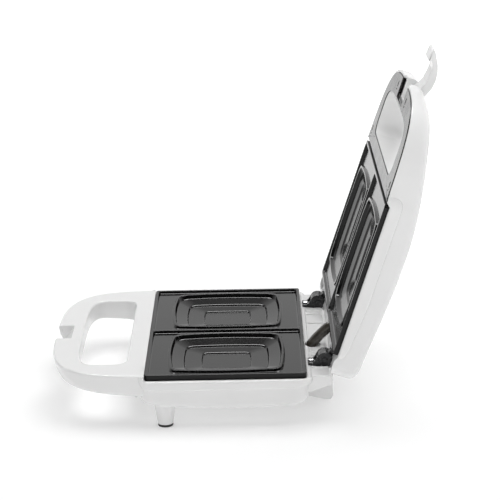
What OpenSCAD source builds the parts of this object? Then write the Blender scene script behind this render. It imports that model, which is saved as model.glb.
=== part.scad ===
// Two-slice sandwich toaster with a hinged lid, shown open.
// Working coordinates: X across, -Y towards the handle, +Y towards the hinge, Z up.
// z = 0 is the plane where the two halves meet; y = 0 is the rear edge of the plates.

/* [Plates] */
// Width of each cooking plate
plate_w = 208; // [200:1:210]
// Depth of each cooking plate
plate_d = 125; // [123:1:126]
// Height of the visible side band of a plate
plate_band = 4; // [3:0.5:5]
// Depth of the flat cooking field below the rim
field_drop = 2.2; // [1.5:0.1:3]
// Thickness of the cast plate
plate_t = 2.5; // [2:0.1:3]
// Width of one pocket across the toaster
pocket_w = 84; // [78:1:86]
// Length of one pocket from front to back
pocket_l = 89; // [84:1:90]
// Depth of the pocket floor below the rim
pocket_deep = 9; // [8:0.5:10]

/* [Housing] */
// Overall width of the rim band
band_w = 218; // [217:1:220]
// Width of the side walls below and above the rim band
wall_w = 214; // [213:1:215]
// Wall thickness of the mouldings
wall = 2.2; // [2:0.1:2.5]
// Depth of the base tray below the meeting plane
tray_deep = 26; // [25:1:28]
// Length of the handle in front of the plates
handle_len = 71; // [68:1:74]
// Half width of the handle where it joins the body
handle_half = 105; // [103:1:106]
// Height of the plates' meeting plane above the table
stand_h = 44; // [42:1:46]

/* [Hinge] */
// Distance of the hinge axis behind the plates
hinge_y = 15; // [14.5:0.5:15.5]
// Angle that the lid is open
open_deg = 108.4; // [90:0.1:110]
// Radius of the hinge barrels
barrel_r = 6.2; // [6:0.1:6.4]
// Radius of the hinge pins
pin_r = 2.5; // [2:0.1:2.6]
// Gap between the two plates when the lid is shut
shut_gap = 0.4; // [0.3:0.1:0.8]

/* [Latch] */
// Height of the latch pivot above the meeting plane, lid shut
latch_z = 12.5; // [12:0.1:13]
// Distance of the latch pivot in front of the plates' rear edge
latch_y = 196; // [195.5:0.1:196.5]
// Width of the latch clip
latch_w = 24; // [20:1:26]

/* [Hidden] */
$fn = 48;

// shift from the working coordinates to the part's own frame
origin_y = 47.24;
hx = plate_w/2;
eps = 0.01;

module frame() translate([0, origin_y, stand_h]) children();
// lid parts are drawn shut and then swung open about the hinge axis
module opened() frame() translate([0, hinge_y, 0]) rotate([-open_deg, 0, 0]) translate([0, -hinge_y, 0]) children();
module both_sides() { children(); mirror([1, 0, 0]) children(); }

// rounded rectangle with exact arcs
module rrect(x0, x1, y0, y1, r) {
  translate([x0 + r, y0]) square([x1 - x0 - 2*r, y1 - y0]);
  translate([x0, y0 + r]) square([x1 - x0, y1 - y0 - 2*r]);
  for (x = [x0 + r, x1 - r], y = [y0 + r, y1 - r]) translate([x, y]) circle(r);
}
module rblock(x0, x1, y0, y1, z0, z1, r) translate([0, 0, z0]) linear_extrude(z1 - z0) rrect(x0, x1, y0, y1, r);
module block(x0, x1, y0, y1, z0, z1) translate([x0, y0, z0]) cube([x1 - x0, y1 - y0, z1 - z0]);
module xrod(x0, x1, y, z, r) translate([x0, y, z]) rotate([0, 90, 0]) cylinder(h = x1 - x0, r = r);
module zrod(x, y, z0, z1, r) translate([x, y, z0]) cylinder(h = z1 - z0, r = r);
// a profile drawn as (y, z) points, run across the toaster
module across(x0, x1, pts) translate([x0, 0, 0]) rotate([90, 0, 90]) linear_extrude(x1 - x0) polygon(pts);

// outline of the loop handle, seen from above; inset makes it smaller all round
front_y = -131;
function nose_half(d, inset) = (handle_half - inset - 0.08*d)*pow(max(0, 1 - pow(d/(handle_len - inset), 3.5)), 1/3.5);
function nose_side(inset, n = 16) = [for (i = [0:n]) let(d = (handle_len - inset)*sin(90*i/n)) [nose_half(d, inset), front_y - d]];
module nose_outline(inset = 0, back = 3) {
  s = nose_side(inset);
  m = len(s) - 1;
  polygon(concat([[handle_half - inset, front_y + back]], s, [for (i = [m - 1:-1:0]) [-s[i][0], s[i][1]]], [[-handle_half + inset, front_y + back]]));
}
// D-shaped hand hole; grow makes it larger all round
hole_x = 77; hole_front = -180.5; hole_back = -140.5; hole_mid = -160;
module hand_hole(grow = 0) {
  a = hole_x + grow; b = hole_mid - hole_front + grow;
  n = 16;
  q = [for (i = [0:n]) let(t = 90*i/n) [a*pow(cos(t), 0.5), hole_mid - b*pow(sin(t), 0.5)]];
  polygon(concat(q, [for (i = [n - 1:-1:0]) [-q[i][0], q[i][1]]]));
  rrect(-a, a, hole_mid - 12, hole_back + grow, 10 + grow);
}

// side profiles as (y, z)
base_under = [[-131, -17.5], [-160, -15.6], [-180, -14.2], [-196, -13], [-199.5, -10.5]];
lid_top = [[16.4, 5.6], [15.8, 18], [13.5, 23.2], [7, 25.8], [-11, 27], [-31, 28.6], [-50, 29.9], [-71, 31], [-93, 31.3],
  [-106, 30.9], [-124, 28.9], [-145, 25.8], [-160, 23.2], [-174, 20.6], [-187, 18.6], [-196, 16.6], [-200.5, 12], [-202, 6]];

// ---------------------------------------------------------------- base body

module base_profile_handle(lift = 0) across(-120, 120,
  concat([[-202 - lift, 1], [-120, 1], [-120, -17.5 + lift]], [for (p = base_under) [p[0] + (p[0] < -190 ? lift : 0), p[1] + lift]]));

module hinge_deck_outer() across(-98, 98, [[-2, -4.5], [18, -4.5], [20.4, -6.8], [19.2, -12.5], [1.5, -18.3], [-2, -18.3]]);
module hinge_deck_inner() across(-95.8, 95.8, [[-3, -6.9], [17.2, -6.9], [18.1, -8], [17.1, -11.6], [1.5, -16.1], [-3, -16.1]]);

post_x = 97; post_y = [-118.5, -6.5];

module base_housing() color([0.93, 0.94, 0.94]) frame() difference() {
  union() {
    difference() {
      union() {
        rblock(-wall_w/2, wall_w/2, -128, 1.5, -tray_deep, -5, 12);
        rblock(-band_w/2, band_w/2, -131, 4.5, -10.5, -plate_band, 12);
        intersection() {
          translate([0, 0, -30]) linear_extrude(30) nose_outline(0, 5.6);
          base_profile_handle();
        }
        hinge_deck_outer();
      }
      // room inside the tray
      rblock(-wall_w/2 + wall, wall_w/2 - wall, -125.6, 1.5 - wall, -tray_deep + wall, 1, 10);
      // seat round the plate's skirt
      rblock(-hx - 0.6, hx + 0.6, -plate_d - 0.6, 0.5, -8, 1, 3);
      hinge_deck_inner();
      // room inside the handle, closed from below by a cover
      intersection() {
        translate([0, 0, -32]) linear_extrude(32 - wall) nose_outline(wall, 4);
        block(-120, 120, -210, -127.8, -40, 10);
      }
    }
    // wall round the hand hole, and bosses for the cover screws
    intersection() {
      union() {
        translate([0, 0, -20]) linear_extrude(20) hand_hole(wall);
        for (x = [-90, 90]) zrod(x, -150, -20, -1, 3.2);
        zrod(0, -134, -20, -1, 3.2);
      }
      base_profile_handle(2);
    }
    // posts that carry the plate
    for (x = [-post_x, post_x], y = post_y) zrod(x, y, -tray_deep + 1, -plate_band - 0.9, 4.2);
    // conical front legs
    for (x = [-96, 96]) translate([x, -110, -stand_h + 2]) cylinder(h = stand_h - 2 - tray_deep + 1, r1 = 6.2, r2 = 8.4);
    // ribs on the hinge deck
    for (x = [-54, -45, -23, 81]) block(x - 0.8, x + 0.8, 5, 17.6, -5, -4.0);
    // closed pockets that the hinge barrels turn in
    both_sides() intersection() {
      block(60.6, 80.4, hinge_y - 9, 30, -9.4, -5);
      hinge_deck_outer();
    }
  }
  translate([0, 0, -30]) linear_extrude(40) hand_hole(0);
  // latch notch in the nose
  across(-15.5, 15.5, [[-210, 2], [-188.8, 2], [-188.8, 0], [-197, -10.5], [-199, -14], [-210, -14]]);
  // recesses for the hinge barrels
  both_sides() block(62.8, 78.2, hinge_y - 7, 30, -7.2, 5);
  // opening for the conduit
  rblock(22, 34, 0.6, 13.4, -9, 0, 4);
  // screw holes up through the posts, with counterbores
  for (x = [-post_x, post_x], y = post_y) {
    zrod(x, y, -40, 0, 2);
    zrod(x, y, -40, -tray_deep + 4, 3.6);
  }
  for (x = [-90, 90]) zrod(x, -150, -20, -4, 1.4);
  zrod(0, -134, -20, -4, 1.4);
  // holes for the stand screws and for the leads down into the stand
  for (x = [-40, 40]) zrod(x, 10, -30, -10, 1.6);
  rblock(-15, 15, 4, 14, -30, -12, 3);
  // seats and screw holes of the base brackets
  both_sides() { block(63.5, 77.5, 1.4, 9, -4.5, 5); zrod(70.5, 4.6, -12, 0, 1.3); }
}

module base_handle_cover() color([0.9, 0.91, 0.91]) frame() difference() {
  intersection() {
    translate([0, 0, -30]) linear_extrude(30) nose_outline(wall + 0.25, 3);
    base_profile_handle();
    block(-120, 120, -198.5, -128.2, -40, 0);
  }
  // keeps only the bottom 1.9 mm
  translate([0, 0, 0.1]) base_profile_handle(1.9);
  block(-120, 120, -215, -100, -10.4, 5);
  translate([0, 0, -30]) linear_extrude(40) hand_hole(0);
  across(-16, 16, [[-215, 2], [-187, 2], [-187, -30], [-215, -30]]);
  for (x = [-90, 90]) zrod(x, -150, -30, 0, 1.7);
  zrod(0, -134, -30, 0, 1.7);
}

module cover_screw(x, y, z) { zrod(x, y, z - 1.6, z, 2.8); zrod(x, y, z - 0.5, z + 8, 1.35); }
module cover_screws() color([0.75, 0.75, 0.77]) frame() {
  for (x = [-90, 90]) cover_screw(x, -150, -16.55);
  cover_screw(0, -134, -17.5);
}

// leg across the back that the cord is wound on
module rear_stand() color([0.93, 0.94, 0.94]) frame() difference() {
  union() {
    difference() {
      across(-51, 51, [[4, -17.7], [18.4, -12.9], [21.2, -13.5], [22.8, -40.5], [21.8, -41.9], [19.8, -42.6], [3, -40.4], [2.4, -26.6], [2.4, -19]]);
      across(-48.8, 48.8, [[5.4, -19.9], [17.2, -15.6], [19.2, -16.2], [20.5, -39.8], [19.2, -40.4], [5.2, -38.6], [4.8, -27]]);
    }
    // rests for the terminal block
    for (s = [-1, 1]) block(s*12 - 1.6, s*12 + 1.6, 4.2, 6.4, -32, -27);
  }
  hinge_deck_outer();
  // way through for the leads and for the two screws
  rblock(-15, 15, 5, 14, -30, -10, 3);
  for (x = [-40, 40]) { zrod(x, 10, -30, -10, 1.9); zrod(x, 10, -60, -30, 3.4); }
  // cord inlet
  translate([30, 26, -28]) rotate([90, 0, 0]) cylinder(h = 8, r = 5.5);
}
module stand_screws() color([0.75, 0.75, 0.77]) frame()
  for (x = [-40, 40]) { zrod(x, 10, -22.9, -20.6, 3); zrod(x, 10, -21, -13, 1.5); }

module cord_inlet_bushing() color([0.12, 0.12, 0.12]) frame() translate([30, 0, -28]) rotate([-90, 0, 0])
  difference() {
    union() {
      translate([0, 0, 18.6]) cylinder(h = 6.2, r = 5.4);
      translate([0, 0, 22.6]) cylinder(h = 2.4, r = 7.5);
      translate([0, 0, 18.2]) cylinder(h = 1.2, r = 6.6);
    }
    translate([0, 0, 10]) cylinder(h = 20, r = 3.4);
  }

module front_foot_pads() color([0.08, 0.08, 0.08]) frame()
  for (x = [-96, 96]) zrod(x, -110, -stand_h, -stand_h + 2, 6.1);
module rear_foot_pads() color([0.08, 0.08, 0.08]) frame()
  for (x = [-38, 38]) intersection() {
    rblock(x - 9, x + 9, 12.5, 20.5, -stand_h, -38, 3.5);
    across(-60, 60, [[3, -60], [22, -60], [22, -42.9], [19.8, -42.65], [3, -40.45]]);
  }

// ---------------------------------------------------------------- plates

px0 = 9.5; // inner edge of a pocket from the middle
pocket_y0 = -62.3 - pocket_l/2; pocket_y1 = -62.3 + pocket_l/2;
pocket_mid = px0 + pocket_w/2;
// one pocket cut: stepped down in three terraces
module pocket_steps(grow = 0, drop = 0) {
  step = [[0, 0, -4.6, 22], [13.5, 10, -7.2, 16], [24.5, 24.3, -pocket_deep, 7]];
  for (s = step)
    rblock(px0 + s[0] - grow, px0 + pocket_w - s[0] + grow, pocket_y0 + s[1] - grow, pocket_y1 - s[1] + grow,
      s[2] - drop, 1, s[3] + grow);
}
// plate drawn as the lower one, cooking side up
module cooking_plate() difference() {
  union() {
    difference() {
      rblock(-hx, hx, -plate_d, 0, -field_drop - plate_t, 0, 3);
      rblock(-hx + 2, hx - 2, -plate_d + 2, -2, -field_drop, 1, 2);
    }
    // rib between the two pockets
    block(-1, 1, -plate_d + 1, -1, -field_drop - 1, 0);
    // skirt that stands inside the housing
    difference() {
      rblock(-hx, hx, -plate_d, 0, -plate_band - 3, -field_drop - 1, 3);
      rblock(-hx + 2, hx - 2, -plate_d + 2, -2, -20, 1, 2);
    }
    // beads round the pockets and their cast underside
    both_sides() {
      rblock(px0 - 2.5, px0 + pocket_w + 2.5, pocket_y0 - 2.5, pocket_y1 + 2.5, -field_drop - 1, -0.3, 24);
      pocket_underside();
    }
    // bosses that take the screws
    for (x = [-post_x, post_x], y = post_y) zrod(x, y, -plate_band - 0.8, -field_drop, 4);
  }
  both_sides() pocket_steps();
  for (x = [-post_x, post_x], y = post_y) zrod(x, y, -20, -field_drop - 0.9, 1.6);
}
module pocket_underside() {
  step = [[0, 0, -4.6, 22], [13.5, 10, -7.2, 16], [24.5, 24.3, -pocket_deep, 7]];
  for (s = step)
    rblock(px0 + s[0] - 2.2, px0 + pocket_w - s[0] + 2.2, pocket_y0 + s[1] - 2.2, pocket_y1 - s[1] + 2.2, s[2] - plate_t, -3, s[3] + 2.2);
}
module lower_plate() color([0.16, 0.16, 0.16]) frame() cooking_plate();
// the upper plate is the same casting turned over
module flip_lid() translate([0, 0, shut_gap]) mirror([0, 0, 1]) children();
module upper_plate() color([0.16, 0.16, 0.16]) opened() flip_lid() cooking_plate();

module plate_screw(x, y, z_head, z_tip) { zrod(x, y, z_head, z_head + 2.4, 3.4); zrod(x, y, z_head + 2, z_tip, 1.55); }
module lower_plate_screws() color([0.75, 0.75, 0.77]) frame()
  for (x = [-post_x, post_x], y = post_y) plate_screw(x, y, -tray_deep + 1.55, -field_drop - 1);

// heating element: a loop of tube under the terraces, with cold ends towards the hinge
elem_z = -13; elem_r = 3.25; bend_r = 14;
// a quarter bend, very slightly slimmer than the straights it joins
module elbow(x, y, a) translate([x, y, elem_z]) rotate([0, 0, a]) rotate_extrude(angle = 90) translate([bend_r, 0]) circle(elem_r - 0.05);
module heating_element() {
  xrod(-72, 72, -92, elem_z, elem_r);
  elbow(72, -78, -90);
  elbow(-72, -78, 180);
  for (x = [-86, 86]) translate([x, -78, elem_z]) rotate([-90, 0, 0]) cylinder(h = 30, r = elem_r);
  elbow(72, -48, 0);
  elbow(-72, -48, 90);
  xrod(21, 72, -34, elem_z, elem_r);
  xrod(-72, -21, -34, elem_z, elem_r);
  elbow(21, -20, 180);
  elbow(-21, -20, 270);
  for (x = [-7, 7]) {
    translate([x, -20, elem_z]) rotate([-90, 0, 0]) cylinder(h = 5, r = elem_r);
    translate([x, -15.2, elem_z]) rotate([-90, 0, 0]) cylinder(h = 8, r = 1.2);
  }
}
module lower_heating_element() color([0.45, 0.45, 0.44]) frame() heating_element();
module upper_heating_element() color([0.45, 0.45, 0.44]) opened() flip_lid() heating_element();

// strips that hold the element against the plate
clamp_y = [-92, -34];
module element_clamps() for (x = [-50, 50], y = clamp_y) difference() {
  block(x - 4, x + 4, y - 4.4, y + 4.4, elem_z - 4.3, -9.7);
  xrod(x - 6, x + 6, y, elem_z, elem_r);
  block(x - 5, x + 5, y - 3.6, y + 3.6, elem_z - 3.4, elem_z + 5);
}
module lower_element_clamps() color([0.6, 0.6, 0.62]) frame() element_clamps();
module upper_element_clamps() color([0.6, 0.6, 0.62]) opened() flip_lid() element_clamps();

// reflector tray behind the element
module reflector() difference() {
  rblock(-91, 91, -113, -12, -18.8, -13.8, 4);
  rblock(-90.4, 90.4, -112.4, -12.6, -18.2, -10, 3.4);
  block(-16, 16, -16, -10, -17.4, -10);
}
module lower_reflector() color([0.8, 0.8, 0.82]) frame() reflector();
module upper_reflector() color([0.8, 0.8, 0.82]) opened() flip_lid() reflector();

module thermostat() color([0.85, 0.82, 0.76]) frame() {
  block(-4.2, 4.2, -76, -50, -13.2, -4.7);
  zrod(0, -63, -14.6, -13, 3);
  block(-2.2, 2.2, -80.2, -46, -12.8, -12);
}
module thermal_fuse() color([0.8, 0.78, 0.7]) frame() translate([0, -42, -6.95]) rotate([-90, 0, 0]) {
  cylinder(h = 16, r = 2.2);
  translate([0, 0, -3]) cylinder(h = 24, r = 0.6);
}
module terminal_block() color([0.9, 0.88, 0.8]) frame() difference() {
  block(-14, 14, 6.4, 14.4, -34, -25);
  for (x = [-9, 0, 9]) translate([x, 5, -29.5]) rotate([-90, 0, 0]) cylinder(h = 14, r = 1.9);
}

// a round tube swept along a list of points; u is a direction that the path never follows
function path_dir(pts, i) = let(v = pts[min(len(pts) - 1, i + 1)] - pts[max(0, i - 1)]) v/norm(v);
module swept_tube(pts, r, k, u) {
  n = len(pts);
  ring = [for (i = [0:n - 1], j = [0:k - 1])
    let(d = path_dir(pts, i), e = cross(d, u), a = e/norm(e), b = cross(a, d))
    pts[i] + r*(cos(360*j/k)*b + sin(360*j/k)*a)];
  faces = concat(
    [[for (j = [0:k - 1]) j]],
    [[for (j = [k - 1:-1:0]) (n - 1)*k + j]],
    [for (i = [0:n - 2], j = [0:k - 1]) let(a = i*k + j, b = i*k + (j + 1)%k) [a, a + k, b + k, b]]);
  polyhedron(ring, faces, convexity = 4);
}
base_lead_pts = [[7, -7, -13], [7.2, -4.5, -13.1], [7.8, -1, -13.2], [8.4, 3, -13.6], [8.8, 6.6, -15], [9, 8.8, -17.8], [9, 9.8, -21], [9, 10, -24.8]];
module base_leads() color([0.55, 0.5, 0.45]) frame() both_sides() swept_tube(base_lead_pts, 1, 8, [1, 0, 0]);

// ---------------------------------------------------------------- hinge

module base_bracket() difference() {
  union() {
    block(64, 77, 1.9, 8, -4.5, -2.2);
    for (x = [64, 74.2]) {
      xrod(x, x + 2.8, hinge_y, 0, barrel_r);
      block(x, x + 2.8, 7, hinge_y, -4.5, 0.8);
    }
  }
  xrod(60, 80, hinge_y, 0, pin_r);
  zrod(70.5, 4.6, -10, 5, 1.6);
}
module hinge_base_bracket_right() color([0.1, 0.1, 0.1]) frame() base_bracket();
module hinge_base_bracket_left() color([0.1, 0.1, 0.1]) frame() mirror([1, 0, 0]) base_bracket();

module lid_bracket() difference() {
  union() {
    xrod(67.1, 73.9, hinge_y, 0, barrel_r);
    block(67.1, 73.9, 5.2, hinge_y, 1.2, 5.1);
    block(64, 77, 1.9, 7.6, 2.6, 5.1);
  }
  xrod(60, 80, hinge_y, 0, pin_r + 0.06);
  zrod(70.5, 4.6, -10, 15, 1.6);
  // counterbore for the screw head
  zrod(70.5, 4.6, 0, 2.6, 3.2);
}
module hinge_lid_bracket_right() color([0.1, 0.1, 0.1]) opened() lid_bracket();
module hinge_lid_bracket_left() color([0.1, 0.1, 0.1]) opened() mirror([1, 0, 0]) lid_bracket();

module pin_one() xrod(63.6, 77.4, hinge_y, 0, pin_r);
module hinge_pin_right() color([0.7, 0.7, 0.72]) frame() pin_one();
module hinge_pin_left() color([0.7, 0.7, 0.72]) frame() mirror([1, 0, 0]) pin_one();

module bracket_screws_base() color([0.75, 0.75, 0.77]) frame() both_sides() {
  zrod(70.5, 4.6, -2.2, -1, 2.8);
  zrod(70.5, 4.6, -9, -2.1, 1.25);
}
module bracket_screws_lid() color([0.75, 0.75, 0.77]) opened() both_sides() {
  zrod(70.5, 4.6, 1.4, 2.6, 2.8);
  zrod(70.5, 4.6, 2.5, 9.4, 1.25);
}

// sleeve with the lid's leads, from the base's deck round the hinge axis into the lid
conduit_r = 4.2;
conduit_x = 28;
conduit_yz = [[5.6, -13.5], [5.6, -10.5], [5.9, -7.5], [7.2, -4.6], [9.4, -1.8], [12, 1], [15, 3.8], [18, 6.2], [20.8, 7.5],
  [23.6, 7.7], [27, 6.9], [30.4, 5.8]];
module wire_conduit() color([0.2, 0.18, 0.17]) frame() swept_tube([for (p = conduit_yz) [conduit_x, p[0], p[1]]], conduit_r, 16, [1, 0, 0]);

// ---------------------------------------------------------------- lid body (drawn shut)

module lid_solid(in = 0) {
  // in is the wall thickness taken off all round
  profile = concat([[16.4 - in, -5]], [for (p = lid_top) [p[0] > 0 ? p[0] - in : (p[0] < -190 ? p[0] + in : p[0]), p[1] - in]], [[-202 + in, -5]]);
  intersection() {
    across(-120, 120, profile);
    union() {
      translate([0, 0, shut_gap]) linear_extrude(40) nose_outline(in, 6);
      rblock(-wall_w/2 + in, wall_w/2 - in, -128 + (in > 0 ? 2.4 : 0), 16.4 - in, plate_band - 0.2, 40, 12 - in);
    }
  }
}
module lid_housing() color([0.93, 0.94, 0.94]) opened() difference() {
  union() {
    difference() {
      union() {
        lid_solid(0);
        rblock(-band_w/2, band_w/2, -131, 3, plate_band - 0.2, 13.5, 12);
      }
      difference() {
        lid_solid(wall);
        // front wall between the handle and the plate space
        block(-120, 120, -128, -125.7, -5, 50);
      }
      // the plate space is open towards the plate
      rblock(-hx - 0.6, hx + 0.6, -60, 13.9, -5, 13, 6);
      rblock(-hx - 0.6, hx + 0.6, -plate_d - 0.7, 0.6, -5, 13, 3);
    }
    intersection() {
      translate([0, 0, 2.6]) linear_extrude(30) hand_hole(wall);
      lid_solid(0);
    }
    // deck between the plate and the back wall, with the bracket seats
    block(-100, 100, 0.4, 14.4, 5.1, 7.3);
    // posts that carry the plate
    for (x = [-post_x, post_x]) {
      zrod(x, post_y[0], plate_band + 1.3, 28, 4.2);
      zrod(x, post_y[1], plate_band + 1.3, 25.4, 4.2);
    }
    // covers over the hinge barrels
    both_sides() block(60.4, 80.6, hinge_y - 10, hinge_y, 5.2, 10.4);
    // bosses and ears of the latch pin
    for (s = [-1, 1]) intersection() {
      block(s*15.2 - 2, s*15.2 + 2, -201.6, -184, 2.6, 18);
      lid_solid(0);
    }
    // ceiling of the latch recess
    block(-17, 17, -185.6, -183.6, 2.6, 18);
  }
  translate([0, 0, -5]) linear_extrude(60) hand_hole(0);
  // latch recess in the nose
  block(-13, 13, -215, -185.6, -3, 40);
  block(-20, 20, -215, -184, -3, 2.5);
  xrod(-20, 20, -latch_y, latch_z, 1.5);
  // clearance for the hinge barrels
  both_sides() block(62.4, 78.6, hinge_y - 8, 20, -2, 8.2);
  both_sides() zrod(70.5, 4.6, 0, 12, 1.3);
  // opening for the conduit
  rblock(22, 34, 0.6, 11.2, 3, 9, 3.5);
  // screw holes in the posts
  for (x = [-post_x, post_x], y = post_y) { zrod(x, y, 0, 21, 2); zrod(x, y, 13.5, 23, 3.6); }
  // lamp holes through the roof
  for (x = [-12, 12]) zrod(x, -118, 10, 50, 3.6);
}

module lid_handle_panel() color([0.22, 0.22, 0.23]) opened() difference() {
  translate([0, 0, shut_gap]) linear_extrude(2) nose_outline(wall + 0.25, 2.8);
  translate([0, 0, -5]) linear_extrude(30) hand_hole(0.2);
  block(-20.2, 20.2, -215, -183.8, -5, 10);
  // clip slots
  for (s = [-1, 1]) {
    block(s*33 - 1, s*33 + 1, -196, -188, -5, 10);
    block(s*92 - 1, s*92 + 1, -139, -131, -5, 10);
  }
}

module upper_plate_screws() color([0.75, 0.75, 0.77]) opened()
  for (x = [-post_x, post_x], y = post_y) { zrod(x, y, 13.5, 15.9, 3.4); zrod(x, y, field_drop + shut_gap + 1, 13.9, 1.55); }

module lamp(x) { zrod(x, -118, 20.4, 27.2, 2.6); zrod(x, -118, 18.4, 20.6, 1.4); }
module pilot_lamp_red() color([0.9, 0.4, 0.3]) opened() lamp(-12);
module pilot_lamp_green() color([0.4, 0.8, 0.4]) opened() lamp(12);
module lens(x) difference() {
  union() { zrod(x, -118, 26, 31, 3.5); zrod(x, -118, 25.4, 26.7, 4.6); }
  zrod(x, -118, 25, 28.4, 2.8);
}
module lamp_lens_red() color([0.85, 0.1, 0.08]) opened() lens(-12);
module lamp_lens_green() color([0.1, 0.6, 0.2]) opened() lens(12);

lid_lead_a = [[-7, -6.8, 13.4], [-6.6, -4.6, 13.6], [-3, -0.6, 14.4], [4, 2.8, 15.8], [12, 4.4, 16.9], [19, 4.8, 17.3], [24, 4.8, 16.4], [26, 4.8, 14.8], [26.4, 4.8, 13.5]];
lid_lead_b = [[7, -6.9, 13.4], [7.6, -4.6, 13.5], [11, -1.6, 14], [17, 0.6, 14.4], [23, 1.4, 14.4], [28, 2.2, 14.8], [29.4, 3.4, 14]];
module lid_leads() color([0.55, 0.5, 0.45]) opened() {
  swept_tube(lid_lead_a, 0.9, 8, [0, 1, 0]);
  swept_tube(lid_lead_b, 0.9, 8, [0, 1, 0]);
}

// ---------------------------------------------------------------- latch (drawn on the shut lid, swung out as at rest)

module latch_pin() color([0.75, 0.75, 0.77]) opened() xrod(-17, 17, -latch_y, latch_z, 1.5);

module latch() color([0.95, 0.95, 0.95]) opened() difference() {
  union() {
    xrod(-latch_w/2, latch_w/2, -latch_y, latch_z, 4);
    across(-latch_w/2, latch_w/2, [[-194.4, 16], [-199, 18.6], [-204, 20.2], [-210, 20.9], [-216.5, 20.2], [-222, 18.9],
      [-228.5, 15.6], [-233, 11.8], [-231.5, 9.6], [-223, 10.2], [-222.6, 11.2], [-226.6, 13], [-222, 15], [-217.5, 15.5],
      [-212.3, 15], [-206.2, 13.9], [-200, 10.6], [-196, 8.6]]);
  }
  xrod(-20, 20, -latch_y, latch_z, 1.56);
}

base_housing();
base_handle_cover();
rear_stand();
front_foot_pads();
rear_foot_pads();
lower_plate();
lower_heating_element();
lower_element_clamps();
lower_reflector();
lower_plate_screws();
thermostat();
thermal_fuse();
terminal_block();
base_leads();
cord_inlet_bushing();
hinge_base_bracket_right();
hinge_base_bracket_left();
hinge_pin_right();
hinge_pin_left();
bracket_screws_base();
stand_screws();
cover_screws();
wire_conduit();
lid_housing();
lid_handle_panel();
upper_plate();
upper_heating_element();
upper_element_clamps();
upper_reflector();
upper_plate_screws();
hinge_lid_bracket_right();
hinge_lid_bracket_left();
bracket_screws_lid();
pilot_lamp_red();
pilot_lamp_green();
lamp_lens_red();
lamp_lens_green();
lid_leads();
latch_pin();
latch();
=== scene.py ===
import math
import bmesh
import bpy
import numpy as np
from mathutils import Matrix, Vector


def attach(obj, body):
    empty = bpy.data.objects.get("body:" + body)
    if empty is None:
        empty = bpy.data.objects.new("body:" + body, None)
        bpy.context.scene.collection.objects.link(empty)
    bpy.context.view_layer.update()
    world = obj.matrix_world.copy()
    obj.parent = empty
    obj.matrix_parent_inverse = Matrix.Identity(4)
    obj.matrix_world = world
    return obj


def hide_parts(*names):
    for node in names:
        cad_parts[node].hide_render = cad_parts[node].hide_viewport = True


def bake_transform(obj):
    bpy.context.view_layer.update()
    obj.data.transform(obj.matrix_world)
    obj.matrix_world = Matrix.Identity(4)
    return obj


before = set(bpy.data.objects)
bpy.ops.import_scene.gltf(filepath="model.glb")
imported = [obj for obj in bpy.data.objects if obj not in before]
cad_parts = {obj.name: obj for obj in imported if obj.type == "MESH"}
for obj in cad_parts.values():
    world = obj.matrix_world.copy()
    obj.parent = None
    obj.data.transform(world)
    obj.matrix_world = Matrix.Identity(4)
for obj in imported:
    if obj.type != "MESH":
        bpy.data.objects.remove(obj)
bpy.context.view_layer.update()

scene = bpy.context.scene

# ------------------------------------------------------------------ frame
# Working millimetres: x across, y towards the hinge, z = 0 where the halves meet.
OY, OZ = 47.24, 44.0
HINGE_Y, OPEN_DEG, GAP = 15.0, 108.4, 0.4


def row(p):
    p = np.asarray(p, float).reshape(-1, 3)
    return (p + np.array([0.0, OY, OZ])) / 1000.0


def swing(p, deg=OPEN_DEG):
    """Shut-lid coordinates to the open lid."""
    p = np.asarray(p, float).reshape(-1, 3).copy()
    a = math.radians(-deg)
    y, z = p[:, 1] - HINGE_Y, p[:, 2].copy()
    p[:, 1] = HINGE_Y + y * math.cos(a) - z * math.sin(a)
    p[:, 2] = y * math.sin(a) + z * math.cos(a)
    return p


# ------------------------------------------------------------------ camera
def make_camera():
    cam_d = bpy.data.cameras.new("cam")
    cam = bpy.data.objects.new("cam", cam_d)
    scene.collection.objects.link(cam)
    e, yaw, roll = math.radians(17.082), math.radians(0.1123), math.radians(-1.072)
    fw = Vector((-math.cos(e) * math.cos(yaw), -math.cos(e) * math.sin(yaw), -math.sin(e)))
    right = fw.cross(Vector((0, 0, 1))).normalized()
    up = right.cross(fw).normalized()
    r = math.cos(roll) * right + math.sin(roll) * up
    u = -math.sin(roll) * right + math.cos(roll) * up
    c = row((1403.76, -39.28, 498.98))[0]
    m = Matrix(((r.x, u.x, -fw.x, c[0]), (r.y, u.y, -fw.y, c[1]), (r.z, u.z, -fw.z, c[2]), (0, 0, 0, 1)))
    cam.matrix_world = m
    cam_d.sensor_width = 36.0
    cam_d.lens = 1809.4 / 500 * 36.0
    cam_d.clip_start, cam_d.clip_end = 0.01, 100
    scene.camera = cam


make_camera()

# ------------------------------------------------------------------ mesh tools


class Mesh:
    """Collects rings of points and the faces between them."""

    def __init__(self):
        self.v, self.f = [], []

    def ring(self, pts):
        start = len(self.v)
        self.v.extend([tuple(map(float, p)) for p in pts])
        return list(range(start, len(self.v)))

    def strip(self, a, b, closed=True):
        n = len(a)
        for i in range(n if closed else n - 1):
            j = (i + 1) % n
            self.f.append((a[i], a[j], b[j], b[i]))

    def loft(self, rings, wrap=False):
        ids = [self.ring(r) for r in rings]
        for a, b in zip(ids, ids[1:]):
            self.strip(a, b)
        if wrap:
            self.strip(ids[-1], ids[0])
        return ids

    def cap(self, ids):
        self.f.append(tuple(ids))

    def fan(self, ids, centre):
        c = self.ring([centre])[0]
        n = len(ids)
        for i in range(n):
            self.f.append((ids[i], ids[(i + 1) % n], c))

    def solid(self, rings):
        """Loft closed at both ends."""
        ids = self.loft(rings)
        self.cap(ids[0])
        self.cap(ids[-1])
        return ids


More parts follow.
